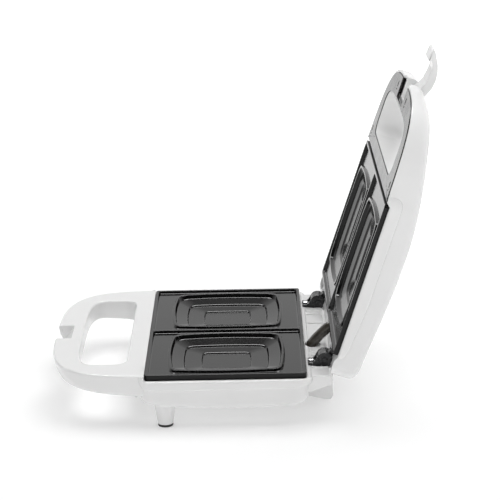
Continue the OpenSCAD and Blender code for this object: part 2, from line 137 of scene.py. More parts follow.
def obj_from(name, m, lid=False, fill=None):
    verts = np.array(m.v, float)
    if lid:
        verts = swing(verts)
    verts = row(verts)
    bm = bmesh.new()
    vs = [bm.verts.new(v) for v in verts]
    bm.verts.index_update()
    for f in m.f:
        g = []
        for i in f:
            if not g or g[-1] != i:
                g.append(i)
        if len(set(g)) >= 3:
            try:
                bm.faces.new([vs[i] for i in g])
            except ValueError:
                pass
    if fill:
        for loops in fill:
            edges = []
            for loop in loops:
                for i in range(len(loop)):
                    a, b = vs[loop[i]], vs[loop[(i + 1) % len(loop)]]
                    e = bm.edges.get((a, b)) or bm.edges.new((a, b))
                    edges.append(e)
            bmesh.ops.triangle_fill(bm, edges=edges, use_beauty=True)
    bmesh.ops.remove_doubles(bm, verts=bm.verts, dist=1e-6)
    bmesh.ops.dissolve_degenerate(bm, edges=bm.edges, dist=1e-7)
    bmesh.ops.recalc_face_normals(bm, faces=bm.faces)
    me = bpy.data.meshes.new(name)
    bm.to_mesh(me)
    bm.free()
    o = bpy.data.objects.new(name, me)
    scene.collection.objects.link(o)
    return o


def boolean(o, cutter, op="DIFFERENCE", keep=False):
    mod = o.modifiers.new("b", "BOOLEAN")
    mod.operation, mod.solver, mod.object = op, "MANIFOLD", cutter
    bpy.context.view_layer.update()
    dg = bpy.context.evaluated_depsgraph_get()
    me = bpy.data.meshes.new_from_object(o.evaluated_get(dg))
    o.modifiers.clear()
    old = o.data
    o.data = me
    me.name = old.name
    bpy.data.meshes.remove(old)
    if not keep:
        cm = cutter.data
        bpy.data.objects.remove(cutter)
        bpy.data.meshes.remove(cm)
    return o


def tidy(o, angle=35, weighted=True, bevel=0.0, bevel_angle=40, seg=2):
    bm = bmesh.new()
    bm.from_mesh(o.data)
    bmesh.ops.remove_doubles(bm, verts=bm.verts, dist=2e-6)
    bmesh.ops.dissolve_degenerate(bm, edges=bm.edges, dist=1e-6)
    bmesh.ops.recalc_face_normals(bm, faces=bm.faces)
    bm.to_mesh(o.data)
    bm.free()
    if bevel:
        b = o.modifiers.new("bevel", "BEVEL")
        b.width, b.segments, b.limit_method, b.angle_limit = bevel / 1000, seg, "ANGLE", math.radians(bevel_angle)
        b.use_clamp_overlap = True
        b.miter_outer = "MITER_ARC"
    for p in o.data.polygons:
        p.use_smooth = True
    if not bevel:
        o.data.set_sharp_from_angle(angle=math.radians(angle))
    if weighted:
        w = o.modifiers.new("wn", "WEIGHTED_NORMAL")
        w.keep_sharp = True
        w.weight = 50
    return o


def join(name, parts):
    """Joins objects into one mesh object without operators."""
    bm = bmesh.new()
    for p in parts:
        bm.from_mesh(p.data)
    me = bpy.data.meshes.new(name)
    bm.to_mesh(me)
    bm.free()
    for p in parts:
        d = p.data
        bpy.data.objects.remove(p)
        bpy.data.meshes.remove(d)
    o = bpy.data.objects.new(name, me)
    scene.collection.objects.link(o)
    return o


def arc(cx, cy, r, a0, a1, n):
    return [(cx + r * math.cos(math.radians(a0 + (a1 - a0) * i / n)), cy + r * math.sin(math.radians(a0 + (a1 - a0) * i / n))) for i in range(n + 1)]


def rrect(cx, cy, hx, hy, r, k=10, mx=1, my=1):
    """Rounded rectangle, anticlockwise; mx and my split its straight sides."""
    r = max(r, 1e-3)
    pts = []
    for sx, sy, a0 in ((1, 1, 0), (-1, 1, 90), (-1, -1, 180), (1, -1, 270)):
        pts += arc(cx + sx * (hx - r), cy + sy * (hy - r), r, a0, a0 + 90, k)
        last = pts[-1]
        if sx == 1 and sy == 1:
            nxt, m = (cx - (hx - r), cy + hy), mx
        elif sx == -1 and sy == 1:
            nxt, m = (cx - hx, cy - (hy - r)), my
        elif sx == -1:
            nxt, m = (cx + (hx - r), cy - hy), mx
        else:
            nxt, m = (cx + hx, cy + (hy - r)), my
        for i in range(1, m):
            t = i / m
            pts.append((last[0] + (nxt[0] - last[0]) * t, last[1] + (nxt[1] - last[1]) * t))
    return np.array(pts)


def round_poly(pts, rad, seg=4):
    """Rounds the corners of a closed 2D polygon. rad is one number or one per corner."""
    n = len(pts)
    pts = [np.array(p, float) for p in pts]
    if not hasattr(rad, "__len__"):
        rad = [rad] * n
    out = []
    for i in range(n):
        p, a, b = pts[i], pts[i - 1], pts[(i + 1) % n]
        u, w = a - p, b - p
        lu, lw = np.linalg.norm(u), np.linalg.norm(w)
        u, w = u / lu, w / lw
        cosang = float(np.clip(u @ w, -1, 1))
        ang = math.acos(cosang)
        if rad[i] <= 0 or ang > math.radians(176):
            out.append(tuple(p))
            continue
        d = rad[i] / math.tan(ang / 2)
        d = min(d, lu * 0.49, lw * 0.49)
        r = d * math.tan(ang / 2)
        bis = (u + w) / np.linalg.norm(u + w)
        c = p + bis * (r / math.sin(ang / 2))
        s, e = p + u * d, p + w * d
        a0 = math.atan2(*(s - c)[::-1])
        a1 = math.atan2(*(e - c)[::-1])
        da = (a1 - a0 + math.pi) % (2 * math.pi) - math.pi
        for k in range(seg + 1):
            t = a0 + da * k / seg
            out.append((c[0] + r * math.cos(t), c[1] + r * math.sin(t)))
    return np.array(out)


def normals2d(p):
    """Outward unit normals of an anticlockwise closed polyline."""
    t = np.roll(p, -1, 0) - np.roll(p, 1, 0)
    n = np.stack([t[:, 1], -t[:, 0]], 1)
    return n / np.maximum(np.linalg.norm(n, axis=1, keepdims=True), 1e-9)


def ccw(p):
    p = np.asarray(p, float)
    a = 0.5 * np.sum(p[:, 0] * np.roll(p[:, 1], -1) - np.roll(p[:, 0], -1) * p[:, 1])
    return p if a > 0 else p[::-1].copy()


def fillet_rows(r, n=4):
    """(inset, drop) pairs of a rounded edge from the side wall up to the top."""
    return [(r * (1 - math.cos(math.pi / 2 * i / n)), r * (1 - math.sin(math.pi / 2 * i / n))) for i in range(n + 1)]


def prism_x(name, profile, x0, x1, r=0.8, lid=False, seg=4, extra=()):
    """A (y, z) outline run along x, with its ends rounded."""
    p = ccw(profile)
    n = normals2d(p)
    m = Mesh()
    rings = []
    ends = [(r * (1 - math.sin(math.pi / 2 * i / seg)), r * (1 - math.cos(math.pi / 2 * i / seg))) for i in range(seg + 1)]
    rows = [(x0 + b, a) for a, b in ends]
    rows = [(x0, r)] + [(x0 + r * (1 - math.cos(math.pi / 2 * i / seg)), r * (1 - math.sin(math.pi / 2 * i / seg))) for i in range(1, seg + 1)]
    mid = [(x, 0.0) for x in extra]
    rows = rows + mid + [(x1 - (x - x0), ins) for x, ins in reversed(rows)]
    for x, ins in rows:
        q = p - n * ins
        rings.append([(x, a, b) for a, b in q])
    # a tight inner ring at each end keeps the flat end faces flat
    first = [(x0, a, b) for a, b in (p - n * (r + 0.05))]
    last = [(x1, a, b) for a, b in (p - n * (r + 0.05))]
    m.solid([first] + rings + [last])
    return obj_from(name, m, lid)


def block(name, x0, x1, y0, y1, z0, z1, r=0.6, rz=0.4, lid=False, k=4, bottom=True):
    """A box with rounded upright corners and rounded top (and bottom) edges."""
    cx, cy, hx, hy = (x0 + x1) / 2, (y0 + y1) / 2, (x1 - x0) / 2, (y1 - y0) / 2
    rows = []
    fr = fillet_rows(rz, 3)
    if bottom:
        rows += [(ins, z0 + drop) for ins, drop in reversed(fr)]
    else:
        rows += [(0, z0)]
    rows += [(ins, z1 - drop) for ins, drop in fr]
    m = Mesh()
    rings = []
    for ins, z in rows:
        q = rrect(cx, cy, hx - ins, hy - ins, max(r - ins, 0.02), k)
        rings.append([(a, b, z) for a, b in q])
    m.solid(rings)
    return obj_from(name, m, lid)


def lathe(name, prof, axis, at, n=32, lid=False):
    """Turns (radius, height) points about an axis through at. axis is x, y or z."""
    m = Mesh()
    rings = []
    for r, h in prof:
        rr = max(r, 1e-3)
        pts = []
        for i in range(n):
            a = 2 * math.pi * i / n
            c, s = rr * math.cos(a), rr * math.sin(a)
            d = {"z": (c, s, h), "x": (h, c, s), "y": (s, h, c)}[axis]
            pts.append((at[0] + d[0], at[1] + d[1], at[2] + d[2]))
        rings.append(pts)
    m.solid(rings)
    return obj_from(name, m, lid)


def interp(x, table):
    xs, ys = zip(*sorted(table))
    return np.interp(x, xs, ys)


def smooth_interp(x, table):
    """Monotone-ish cubic through the table's points."""
    t = sorted(table)
    xs = np.array([a for a, _ in t], float)
    ys = np.array([b for _, b in t], float)
    d = np.diff(ys) / np.diff(xs)
    m = np.zeros(len(xs))
    m[1:-1] = np.where(d[:-1] * d[1:] > 0, 2 * d[:-1] * d[1:] / np.where(d[:-1] + d[1:] == 0, 1, d[:-1] + d[1:]), 0)
    m[0], m[-1] = d[0], d[-1]
    x = np.clip(np.asarray(x, float), xs[0], xs[-1])
    i = np.clip(np.searchsorted(xs, x) - 1, 0, len(xs) - 2)
    h = xs[i + 1] - xs[i]
    s = (x - xs[i]) / h
    return (ys[i] * (2 * s**3 - 3 * s**2 + 1) + h * m[i] * (s**3 - 2 * s**2 + s)
            + ys[i + 1] * (-2 * s**3 + 3 * s**2) + h * m[i + 1] * (s**3 - s**2))


# ------------------------------------------------------------------ materials
def new_mat(name):
    m = bpy.data.materials.new(name)
    m.use_nodes = True
    nt = m.node_tree
    return m, nt, nt.nodes["Principled BSDF"]


def tex(nt, kind, scale, **kw):
    n = nt.nodes.new(kind)
    n.inputs["Scale"].default_value = scale
    for k, v in kw.items():
        n.inputs[k].default_value = v
    return n


def coords(nt):
    if "TC" in nt.nodes:
        return nt.nodes["TC"]
    n = nt.nodes.new("ShaderNodeTexCoord")
    n.name = "TC"
    return n


def ramp(nt, fac, stops):
    n = nt.nodes.new("ShaderNodeValToRGB")
    el = n.color_ramp.elements
    while len(el) < len(stops):
        el.new(0.5)
    for e, (pos, col) in zip(el, stops):
        e.position = pos
        e.color = (*col, 1) if len(col) == 3 else col
    nt.links.new(fac, n.inputs[0])
    return n


def map_range(nt, src, lo, hi, a=0.0, b=1.0):
    n = nt.nodes.new("ShaderNodeMapRange")
    n.inputs["From Min"].default_value, n.inputs["From Max"].default_value = a, b
    n.inputs["To Min"].default_value, n.inputs["To Max"].default_value = lo, hi
    nt.links.new(src, n.inputs["Value"])
    return n


def bump(nt, height, dist, strength=1.0, chain=None):
    n = nt.nodes.new("ShaderNodeBump")
    n.inputs["Strength"].default_value = strength
    n.inputs["Distance"].default_value = dist
    nt.links.new(height, n.inputs["Height"])
    if chain is not None:
        nt.links.new(chain.outputs[0], n.inputs["Normal"])
    return n


def speckled(name, lo, hi, rough, rough_var, scale, bump_scale, bump_mm, ior=1.5, spec=0.5, metal=0.0, coat=0.0,
             coat_rough=0.1, detail=6.0, stops=(0.35, 0.65), sss=0.0, second=None):
    """Two close tones mixed by noise, with fine relief and a little roughness variation."""
    m, nt, b = new_mat(name)
    tc = coords(nt)
    n1 = tex(nt, "ShaderNodeTexNoise", scale, Detail=detail, Roughness=0.6)
    nt.links.new(tc.outputs["Object"], n1.inputs["Vector"])
    r = ramp(nt, n1.outputs["Fac"], [(stops[0], lo), (stops[1], hi)])
    nt.links.new(r.outputs[0], b.inputs["Base Color"])
    n2 = tex(nt, "ShaderNodeTexNoise", scale * 0.37, Detail=4.0, Roughness=0.55)
    nt.links.new(tc.outputs["Object"], n2.inputs["Vector"])
    mr = map_range(nt, n2.outputs["Fac"], rough - rough_var, rough + rough_var, 0.3, 0.7)
    nt.links.new(mr.outputs[0], b.inputs["Roughness"])
    n3 = tex(nt, "ShaderNodeTexNoise", bump_scale, Detail=3.0, Roughness=0.5)
    nt.links.new(tc.outputs["Object"], n3.inputs["Vector"])
    bp = bump(nt, n3.outputs["Fac"], bump_mm / 1000)
    if second:
        n4 = tex(nt, "ShaderNodeTexNoise", second[0], Detail=2.0, Roughness=0.5)
        nt.links.new(tc.outputs["Object"], n4.inputs["Vector"])
        bp = bump(nt, n4.outputs["Fac"], second[1] / 1000, chain=bp)
    nt.links.new(bp.outputs[0], b.inputs["Normal"])
    b.inputs["IOR"].default_value = ior
    b.inputs["Specular IOR Level"].default_value = spec
    b.inputs["Metallic"].default_value = metal
    b.inputs["Coat Weight"].default_value = coat
    b.inputs["Coat Roughness"].default_value = coat_rough
    if sss:
        b.inputs["Subsurface Weight"].default_value = sss
        b.inputs["Subsurface Radius"].default_value = (1.0, 0.9, 0.8)
        b.inputs["Subsurface Scale"].default_value = 0.0015
    return m


WHITE = speckled("white_plastic", (0.798, 0.798, 0.796), (0.812, 0.812, 0.810), 0.19, 0.03, 45, 900, 0.008, ior=1.5, spec=0.5,
                 second=(28, 0.05))
# darker copy of the white plastic for inner faces: the darkening is painted shade
WHITE_SHADED_IN = speckled("white_plastic_inner_painted_shade", (0.62, 0.63, 0.635), (0.66, 0.67, 0.675), 0.38, 0.05, 60, 700, 0.02, ior=1.5, spec=0.45)
PANEL = speckled("panel_black", (0.0085, 0.0085, 0.009), (0.013, 0.013, 0.0135), 0.20, 0.03, 160, 1500, 0.006, ior=1.45, spec=0.45)
NONSTICK = speckled("nonstick_black", (0.0010, 0.0010, 0.0010), (0.0036, 0.0035, 0.0034), 0.12, 0.02, 1500, 1900, 0.004, ior=1.40, spec=0.42,
                    second=(320, 0.006))
HARDWARE = speckled("hardware_black", (0.006, 0.006, 0.007), (0.017, 0.017, 0.018), 0.26, 0.07, 420, 1400, 0.02, ior=1.5, spec=0.5,
                    second=(260, 0.02))
STEEL = speckled("plated_steel", (0.48, 0.48, 0.49), (0.66, 0.66, 0.67), 0.26, 0.08, 260, 1800, 0.012, metal=1.0)
ELEMENT = speckled("element_sheath", (0.10, 0.085, 0.075), (0.22, 0.20, 0.18), 0.42, 0.08, 120, 1500, 0.02, metal=1.0)
REFLECT = speckled("reflector_sheet", (0.62, 0.62, 0.63), (0.80, 0.80, 0.81), 0.24, 0.08, 60, 900, 0.015, metal=1.0)
RUBBER = speckled("rubber_black", (0.012, 0.012, 0.012), (0.024, 0.024, 0.024), 0.62, 0.08, 300, 1600, 0.03)
SLEEVE = speckled("sleeve_dark", (0.030, 0.026, 0.021), (0.062, 0.054, 0.044), 0.24, 0.05, 260, 1200, 0.012, coat=0.4, coat_rough=0.12)
CERAMIC = speckled("ceramic_cream", (0.62, 0.56, 0.45), (0.78, 0.72, 0.62), 0.45, 0.08, 180, 900, 0.03)
BRAID = speckled("glass_braid", (0.40, 0.35, 0.28), (0.62, 0.56, 0.47), 0.75, 0.06, 900, 2600, 0.08)


def lens_mat(name, dark, light):
    m, nt, b = new_mat(name)
    tc = coords(nt)
    n1 = tex(nt, "ShaderNodeTexNoise", 220, Detail=3.0)
    nt.links.new(tc.outputs["Object"], n1.inputs["Vector"])
    r = ramp(nt, n1.outputs["Fac"], [(0.35, dark), (0.65, light)])
    nt.links.new(r.outputs[0], b.inputs["Base Color"])
    v = tex(nt, "ShaderNodeTexVoronoi", 1400)
    nt.links.new(tc.outputs["Object"], v.inputs["Vector"])
    bp = bump(nt, v.outputs["Distance"], 0.00004)
    nt.links.new(bp.outputs[0], b.inputs["Normal"])
    b.inputs["Roughness"].default_value = 0.12
    b.inputs["Transmission Weight"].default_value = 0.55
    b.inputs["IOR"].default_value = 1.49
    return m


LENS_RED = lens_mat("lens_red", (0.42, 0.012, 0.008), (0.66, 0.03, 0.018))
LENS_GREEN = lens_mat("lens_green", (0.01, 0.20, 0.05), (0.03, 0.38, 0.10))
GLASS = lens_mat("lamp_glass", (0.75, 0.60, 0.52), (0.92, 0.82, 0.76))


def paint(o, mat):
    o.data.materials.clear()
    o.data.materials.append(mat)
    return o


def piece(o, body, mat, stands=()):
    paint(o, mat)
    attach(o, body)
    if stands:
        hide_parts(*stands)
    return o


# ------------------------------------------------------------------ plates
def bowed(cx, cy, hx, hy, bx, by, r, k=9, m=8):
    """Rectangle with gently bowed sides and round corners, anticlockwise. bx and by are how far the sides fall back at the corners."""
    y1, x2 = hy - by - r, hx - bx - r

    def on_x(y):
        g = 2 * bx * y / hy**2
        n = np.array([1.0, g]) / math.hypot(1, g)
        return np.array([hx - bx * (y / hy) ** 2, y]), n

    def on_y(x):
        g = 2 * by * x / hx**2
        n = np.array([g, 1.0]) / math.hypot(1, g)
        return np.array([x, hy - by * (x / hx) ** 2]), n

    for _ in range(40):
        a, na = on_x(y1)
        b, nb = on_y(x2)
        y1 = b[1] - r * nb[1] + r * na[1]
        x2 = a[0] - r * na[0] + r * nb[0]
    a, na = on_x(y1)
    b, nb = on_y(x2)
    c = a - r * na
    a0, a1 = math.atan2(na[1], na[0]), math.atan2(nb[1], nb[0])
    quad = [(c[0] + r * math.cos(a0 + (a1 - a0) * i / k), c[1] + r * math.sin(a0 + (a1 - a0) * i / k)) for i in range(k + 1)]
    top = [tuple(on_y(x2 * (1 - 2 * i / m))[0]) for i in range(1, m)]
    side = [tuple(on_x(-y1 * (1 - 2 * i / m))[0]) for i in range(1, m)]
    pts = list(quad) + top
    pts += [(-x, y) for x, y in reversed(quad)] + [(-x, -y) for x, y in side]
    pts += [(-x, -y) for x, y in quad] + [(-x, -y) for x, y in top]
    pts += [(x, -y) for x, y in reversed(quad)] + side
    return np.array([(cx + x, cy + y) for x, y in pts])


# outlines of the pocket by inset: half sizes along x and y, bows and corner radius
POCKET = [
    (-0.9, 45.5, 47.5, 2.9, 3.4, 6.2),
    (0.0, 44.6, 46.6, 3.0, 3.4, 6.4),
    (1.1, 43.5, 45.6, 3.2, 3.3, 7.0),
    (2.9, 41.7, 44.3, 3.8, 3.0, 9.0),
    (4.4, 40.2, 43.1, 3.8, 2.8, 11.5),
    (16.2, 28.4, 34.3, 2.0, 1.8, 7.6),
    (17.9, 26.7, 32.9, 1.8, 1.6, 6.6),
    (27.2, 17.4, 19.9, 0.6, 0.6, 4.2),
    (28.7, 15.9, 19.0, 0.5, 0.5, 3.4),
    (33.0, 11.6, 14.8, 0.3, 0.3, 2.4),
]


def plate_mesh():
    """The lower plate with its cooking side up; returns the mesh and the loops that flat faces fill."""
    m = Mesh()
    K = 12

    def ring(cx, cy, hx, hy, r, z):
        return [(a, b, z) for a, b in rrect(cx, cy, hx, hy, r, K)]

    cy = -62.5
    # outer wall, from the rim's top outwards and down
    outer = []
    for ins, z in [(1.25, 0.0), (0.55, 0.0), (0.34, -0.02), (0.18, -0.08), (0.07, -0.19), (0.01, -0.33), (0.0, -0.5), (0.0, -4.0), (0.15, -7.0)]:
        outer.append(ring(0, cy, 104 - ins, 62.5 - ins, 2.6 - min(ins, 1.4), z))
    inner = []
    for ins, z in [(0.6, -7.25), (1.9, -7.25), (2.2, -7.0), (2.2, -4.9), (2.6, -4.7)]:
        inner.append(ring(0, cy, 104 - ins, 62.5 - ins, max(2.6 - ins, 0.8), z))
    ids = m.loft(outer + inner)
    top_outer, under_outer = ids[0], ids[-1]
    top_holes, under_holes = [], []
    cols = list(zip(*POCKET))
    for s in (1, -1):
        ccx, chx, chy = s * 51.5, 50.6, 60.6
        k, mm = 9, 8
        rows = []
        for ins, z in [(-0.28, 0.0), (0.0, 0.0), (0.22, -0.04), (0.40, -0.15), (0.52, -0.32), (0.62, -0.60), (0.74, -0.95), (0.92, -1.32), (1.2, -1.66),
                       (1.56, -1.93), (1.98, -2.11), (2.45, -2.2), (2.9, -2.2)]:
            r = 3.0 - 0.35 * max(ins, 0)
            rows.append([(a, b, z) for a, b in rrect(ccx, cy, chx - ins, chy - ins, max(r, 1.6), k, mm, mm)])
        px, py = s * 51.0, -62.3
        prof = profile_fillet(
            [(-0.9, -2.2), (0.0, -2.2), (1.1, -0.36), (2.9, -0.30), (4.4, -3.2), (16.2, -5.6), (17.9, -6.8), (27.2, -7.9), (28.7, -9.0), (31.5, -9.0)],
            [0, 0.6, 0.4, 0.4, 2.0, 3.0, 1.2, 3.0, 1.0, 0])
        for u, z in prof:
            hx, hy, bx, by, r = (float(np.interp(u, cols[0], c)) for c in cols[1:])
            rows.append([(a, b, z) for a, b in bowed(px, py, hx, hy, bx, by, r, k, mm)])
        rid = m.loft(rows)
        m.fan(rid[-1], (px, py, -9.0))
        top_holes.append(rid[0])
        # underside of the pocket
        urows = []
        for hx, hy, r, z in [(45.2, 47.9, 25.5, -4.7), (44.6, 47.3, 25, -4.9), (43.2, 46.0, 24, -6.4), (42.0, 45.0, 23, -6.9), (30.6, 36.6, 17, -8.5), (28.9, 35.0, 16, -9.4),
                             (28.0, 34.0, 15, -9.7), (19.5, 22.5, 8.5, -10.8), (18.2, 21.2, 7.5, -11.5), (16.5, 19.4, 6, -11.6)]:
            urows.append(ring(px, py, hx, hy, r, z))
        uid = m.loft(urows)
        m.fan(uid[-1], (px, py, -11.6))
        under_holes.append(uid[0])
    return m, [[top_outer] + top_holes, [under_outer] + under_holes]


def profile_fillet(pts, rads, seg=4):
    """Rounds the inner corners of an open 2D polyline."""
    out = [tuple(pts[0])]
    for i in range(1, len(pts) - 1):
        p, a, b = (np.array(pts[j], float) for j in (i, i - 1, i + 1))
        u, w = a - p, b - p
        lu, lw = np.linalg.norm(u), np.linalg.norm(w)
        u, w = u / lu, w / lw
        ang = math.acos(float(np.clip(u @ w, -1, 1)))
        r = rads[i]
        if r <= 0 or ang > math.radians(178):
            out.append(tuple(p))
            continue
        d = min(r / math.tan(ang / 2), lu * 0.48, lw * 0.48)
        r = d * math.tan(ang / 2)
        bis = (u + w) / np.linalg.norm(u + w)
        c = p + bis * (r / math.sin(ang / 2))
        s, e = p + u * d, p + w * d
        a0 = math.atan2(*(s - c)[::-1])
        a1 = math.atan2(*(e - c)[::-1])
        da = (a1 - a0 + math.pi) % (2 * math.pi) - math.pi
        for k in range(seg + 1):
            t = a0 + da * k / seg
            out.append((c[0] + r * math.cos(t), c[1] + r * math.sin(t)))
    out.append(tuple(pts[-1]))
    return out


def make_plates():
    m, fill = plate_mesh()
    lower = tidy(obj_from("plate_lower", m, fill=fill), angle=50)
    piece(lower, "base", NONSTICK, ["lower_plate"])
    m2, fill2 = plate_mesh()
    m2.v = [(x, y, GAP - z) for x, y, z in m2.v]
    upper = tidy(obj_from("plate_upper", m2, lid=True, fill=fill2), angle=50)
    piece(upper, "lid", NONSTICK, ["upper_plate"])


make_plates()


# ------------------------------------------------------------------ outlines
def nose_half(d, inset=0.0):
    L = 71.0 - inset
    return (105.0 - inset - 0.08 * d) * np.power(np.maximum(0.0, 1 - np.power(np.clip(d / L, 0, 1), 3.5)), 1 / 3.5)


def nose_curve(back_y, corner=0.0, flare=None):
    """Closed dense outline of the loop handle, anticlockwise from the back right corner."""
    t = np.linspace(0, 1, 400)
    d = 71.0 * np.sin(t * math.pi / 2)
    right = [(float(nose_half(v)), -131 - float(v)) for v in d]
    left = [(-x, y) for x, y in reversed(right[:-1])]
    side_x = 105.0 if flare is None else flare
    pts = []
    # right side from the back to the nose, nose to the left, left back: clockwise seen from above, so reverse at the end
    pts += [(side_x, back_y)]
    if flare is not None:
        pts += [(flare, -124.0), (flare - 0.15, -126.0), ((flare + 105) / 2, -128.5)]
    pts += right + left
    if flare is not None:
        pts += [(-(flare + 105) / 2, -128.5), (-(flare - 0.15), -126.0), (-flare, -124.0)]
    pts += [(-side_x, back_y)]
    return ccw(np.array(pts))


def dense(p, step=0.5):
    out = []
    n = len(p)
    for i in range(n):
        a, b = p[i], p[(i + 1) % n]
        L = np.linalg.norm(b - a)
        k = max(1, int(L / step))
        for j in range(k):
            out.append(a + (b - a) * j / k)
    return np.array(out)


def sample_by_length(p, n, weight=None):
    """n points evenly spread along a dense closed polyline; weight makes some places denser."""
    q = np.vstack([p, p[:1]])
    seg = np.linalg.norm(np.diff(q, axis=0), axis=1)
    if weight is not None:
        seg = seg * weight(p)
    s = np.concatenate([[0], np.cumsum(seg)])
    t = np.linspace(0, s[-1], n, endpoint=False)
    return np.stack([np.interp(t, s, q[:, 0]), np.interp(t, s, q[:, 1])], 1)


def by_angle(p, centre, ang):
    """Points of a dense star-shaped outline at the given angles about centre."""
    a = np.arctan2(p[:, 1] - centre[1], p[:, 0] - centre[0])
    r = np.hypot(p[:, 1] - centre[1], p[:, 0] - centre[0])
    o = np.argsort(a)
    a, r = a[o], r[o]
    a = np.concatenate([a - 2 * math.pi, a, a + 2 * math.pi])
    r = np.concatenate([r, r, r])
    rr = np.interp(ang, a, r)
    return np.stack([centre[0] + rr * np.cos(ang), centre[1] + rr * np.sin(ang)], 1)


def hole_curve(grow=0.0):
    a, b, ym = 77.0 + grow, 20.5 + grow, -160.0
    t = np.radians(np.linspace(0, 180, 400))
    front = [(a * np.sign(np.cos(v)) * abs(np.cos(v)) ** 0.5, ym - b * abs(np.sin(v)) ** 0.5) for v in t]
    r = 10.0 + grow
    yb = -140.5 + grow
    back = arc(-a + r, yb - r, r, 180, 90, 12) + arc(a - r, yb - r, r, 90, 0, 12)
    return dense(ccw(np.array(front + back)), 0.4)


CEN = np.array([0.0, -160.0])
HOLE = hole_curve()


# ------------------------------------------------------------------ base
def base_under(y):
    return smooth_interp(y, [(-202, -12.6), (-199.5, -12.9), (-196, -13.2), (-180, -14.4), (-160, -15.8), (-131, -17.6), (-120, -18.2)])


def handle_loop_base():
    """Hollow loop handle of the base: closed on top, open below."""
    N = 260
    outer = dense(nose_curve(-121.0), 0.4)
    pts = sample_by_length(outer, N, lambda p: 1 + 0.6 * (p[:, 1] < -150))
    ang = np.arctan2(pts[:, 1] - CEN[1], pts[:, 0] - CEN[0])
    nrm = normals2d(outer)
    # outward normals at the sampled points
    idx = np.array([np.argmin(np.hypot(outer[:, 0] - x, outer[:, 1] - y)) for x, y in pts])
    nr = nrm[idx]
    hole = by_angle(HOLE, CEN, ang)
    hn_all = normals2d(HOLE)
    hidx = np.array([np.argmin(np.hypot(HOLE[:, 0] - x, HOLE[:, 1] - y)) for x, y in hole])
    hn = hn_all[hidx]
    front = np.clip((-pts[:, 1] - 150) / 45, 0, 1)  # 0 at the body, 1 at the nose
    lean = front**2 * 2.2

    def out_row(ins, frac=None, z=None, off=0.0):
        p = pts - nr * (np.asarray(ins)[:, None] if hasattr(ins, "__len__") else ins)
        zz = base_under(p[:, 1])
        if frac is not None:
            zz = zz * frac
        elif z is not None:
            zz = np.full(len(p), float(z))
        return np.column_stack([p, zz + off])

    rows = []
    rt, rb = 1.7, 3.6
    # top edge, from the flat top out and down
    for ins, drop in reversed(fillet_rows(rt, 5)):
        rows.append(out_row(ins, z=-drop))
    for f in (0.35, 0.6):
        rows.append(out_row(lean * f * 0.8, frac=f))
    # bottom edge
    for ins, rise in fillet_rows(rb, 5):
        rows.append(out_row(lean + ins, off=rise))
    # bottom lip, then up inside
    rows.append(out_row(lean + rb + 0.4))
    lipw = 4.6
    rows.append(out_row(lean + lipw, off=0.0))
    rows.append(out_row(lean + lipw + 0.1, off=0.3))
    rows.append(out_row(lean + lipw, off=2.2))
    rows.append(out_row(lean * 0.5 + 2.6, off=3.4))
    rows.append(out_row(2.4, z=-3.2))
    rows.append(out_row(3.4, z=-2.3))

    def hole_row(grow, z=None, off=None):
        p = hole + hn * grow
        zz = base_under(p[:, 1]) + off if off is not None else np.full(len(p), float(z))
        return np.column_stack([p, zz])

    # under the top skin, from the outer wall to the hole wall
    a, b = rows[-1], hole_row(3.4, z=-2.3)
    for t in (0.33, 0.66):
        rows.append(a * (1 - t) + b * t)
    rows.append(b)
    rows.append(hole_row(2.3, z=-3.2))
    rows.append(hole_row(2.0, off=2.4))
    rows.append(hole_row(1.9, off=0.25))
    rows.append(hole_row(1.6, off=0.0))
    rows.append(hole_row(0.55, off=0.0))
    rows.append(hole_row(0.15, off=0.2))
    rows.append(hole_row(0.0, off=0.6))
    rows.append(hole_row(0.0, z=-7.0))
    rh = 1.5
    for ins, drop in fillet_rows(rh, 5):
        rows.append(hole_row(ins, z=-drop))
    # flat top back to the outer edge
    a, b = rows[-1], rows[0]
    rows.append(a * 0.97 + b * 0.03)
    rows.append(a * 0.5 + b * 0.5)
    rows.append(a * 0.03 + b * 0.97)
    m = Mesh()
    m.loft([r.tolist() for r in rows], wrap=True)
    return obj_from("handle_base", m)


FL_LOW = [(-131.2, -0.4), (-130.8, -1.6), (-130.3, -3.2), (-129.6, -5.0), (-128.7, -6.9), (-127.4, -8.7), (-126.0, -9.8), (-124, -10.5), (-118, -10.9),
          (-82, -11.3), (-44, -10.8), (-5.5, -9.9), (1.8, -8.9), (6, -8.4)]
PAN_BOT = [(-131, -23.3), (-124, -23.7), (-117, -25.0), (-98, -27.0), (-82, -27.8), (-52, -28.4), (-29, -28.0), (-13, -26.8), (-5.5, -25.9), (4, -24.7)]


def flange_low(y):
    return smooth_interp(y, FL_LOW)


def pan_bottom(y):
    return smooth_interp(y, PAN_BOT)


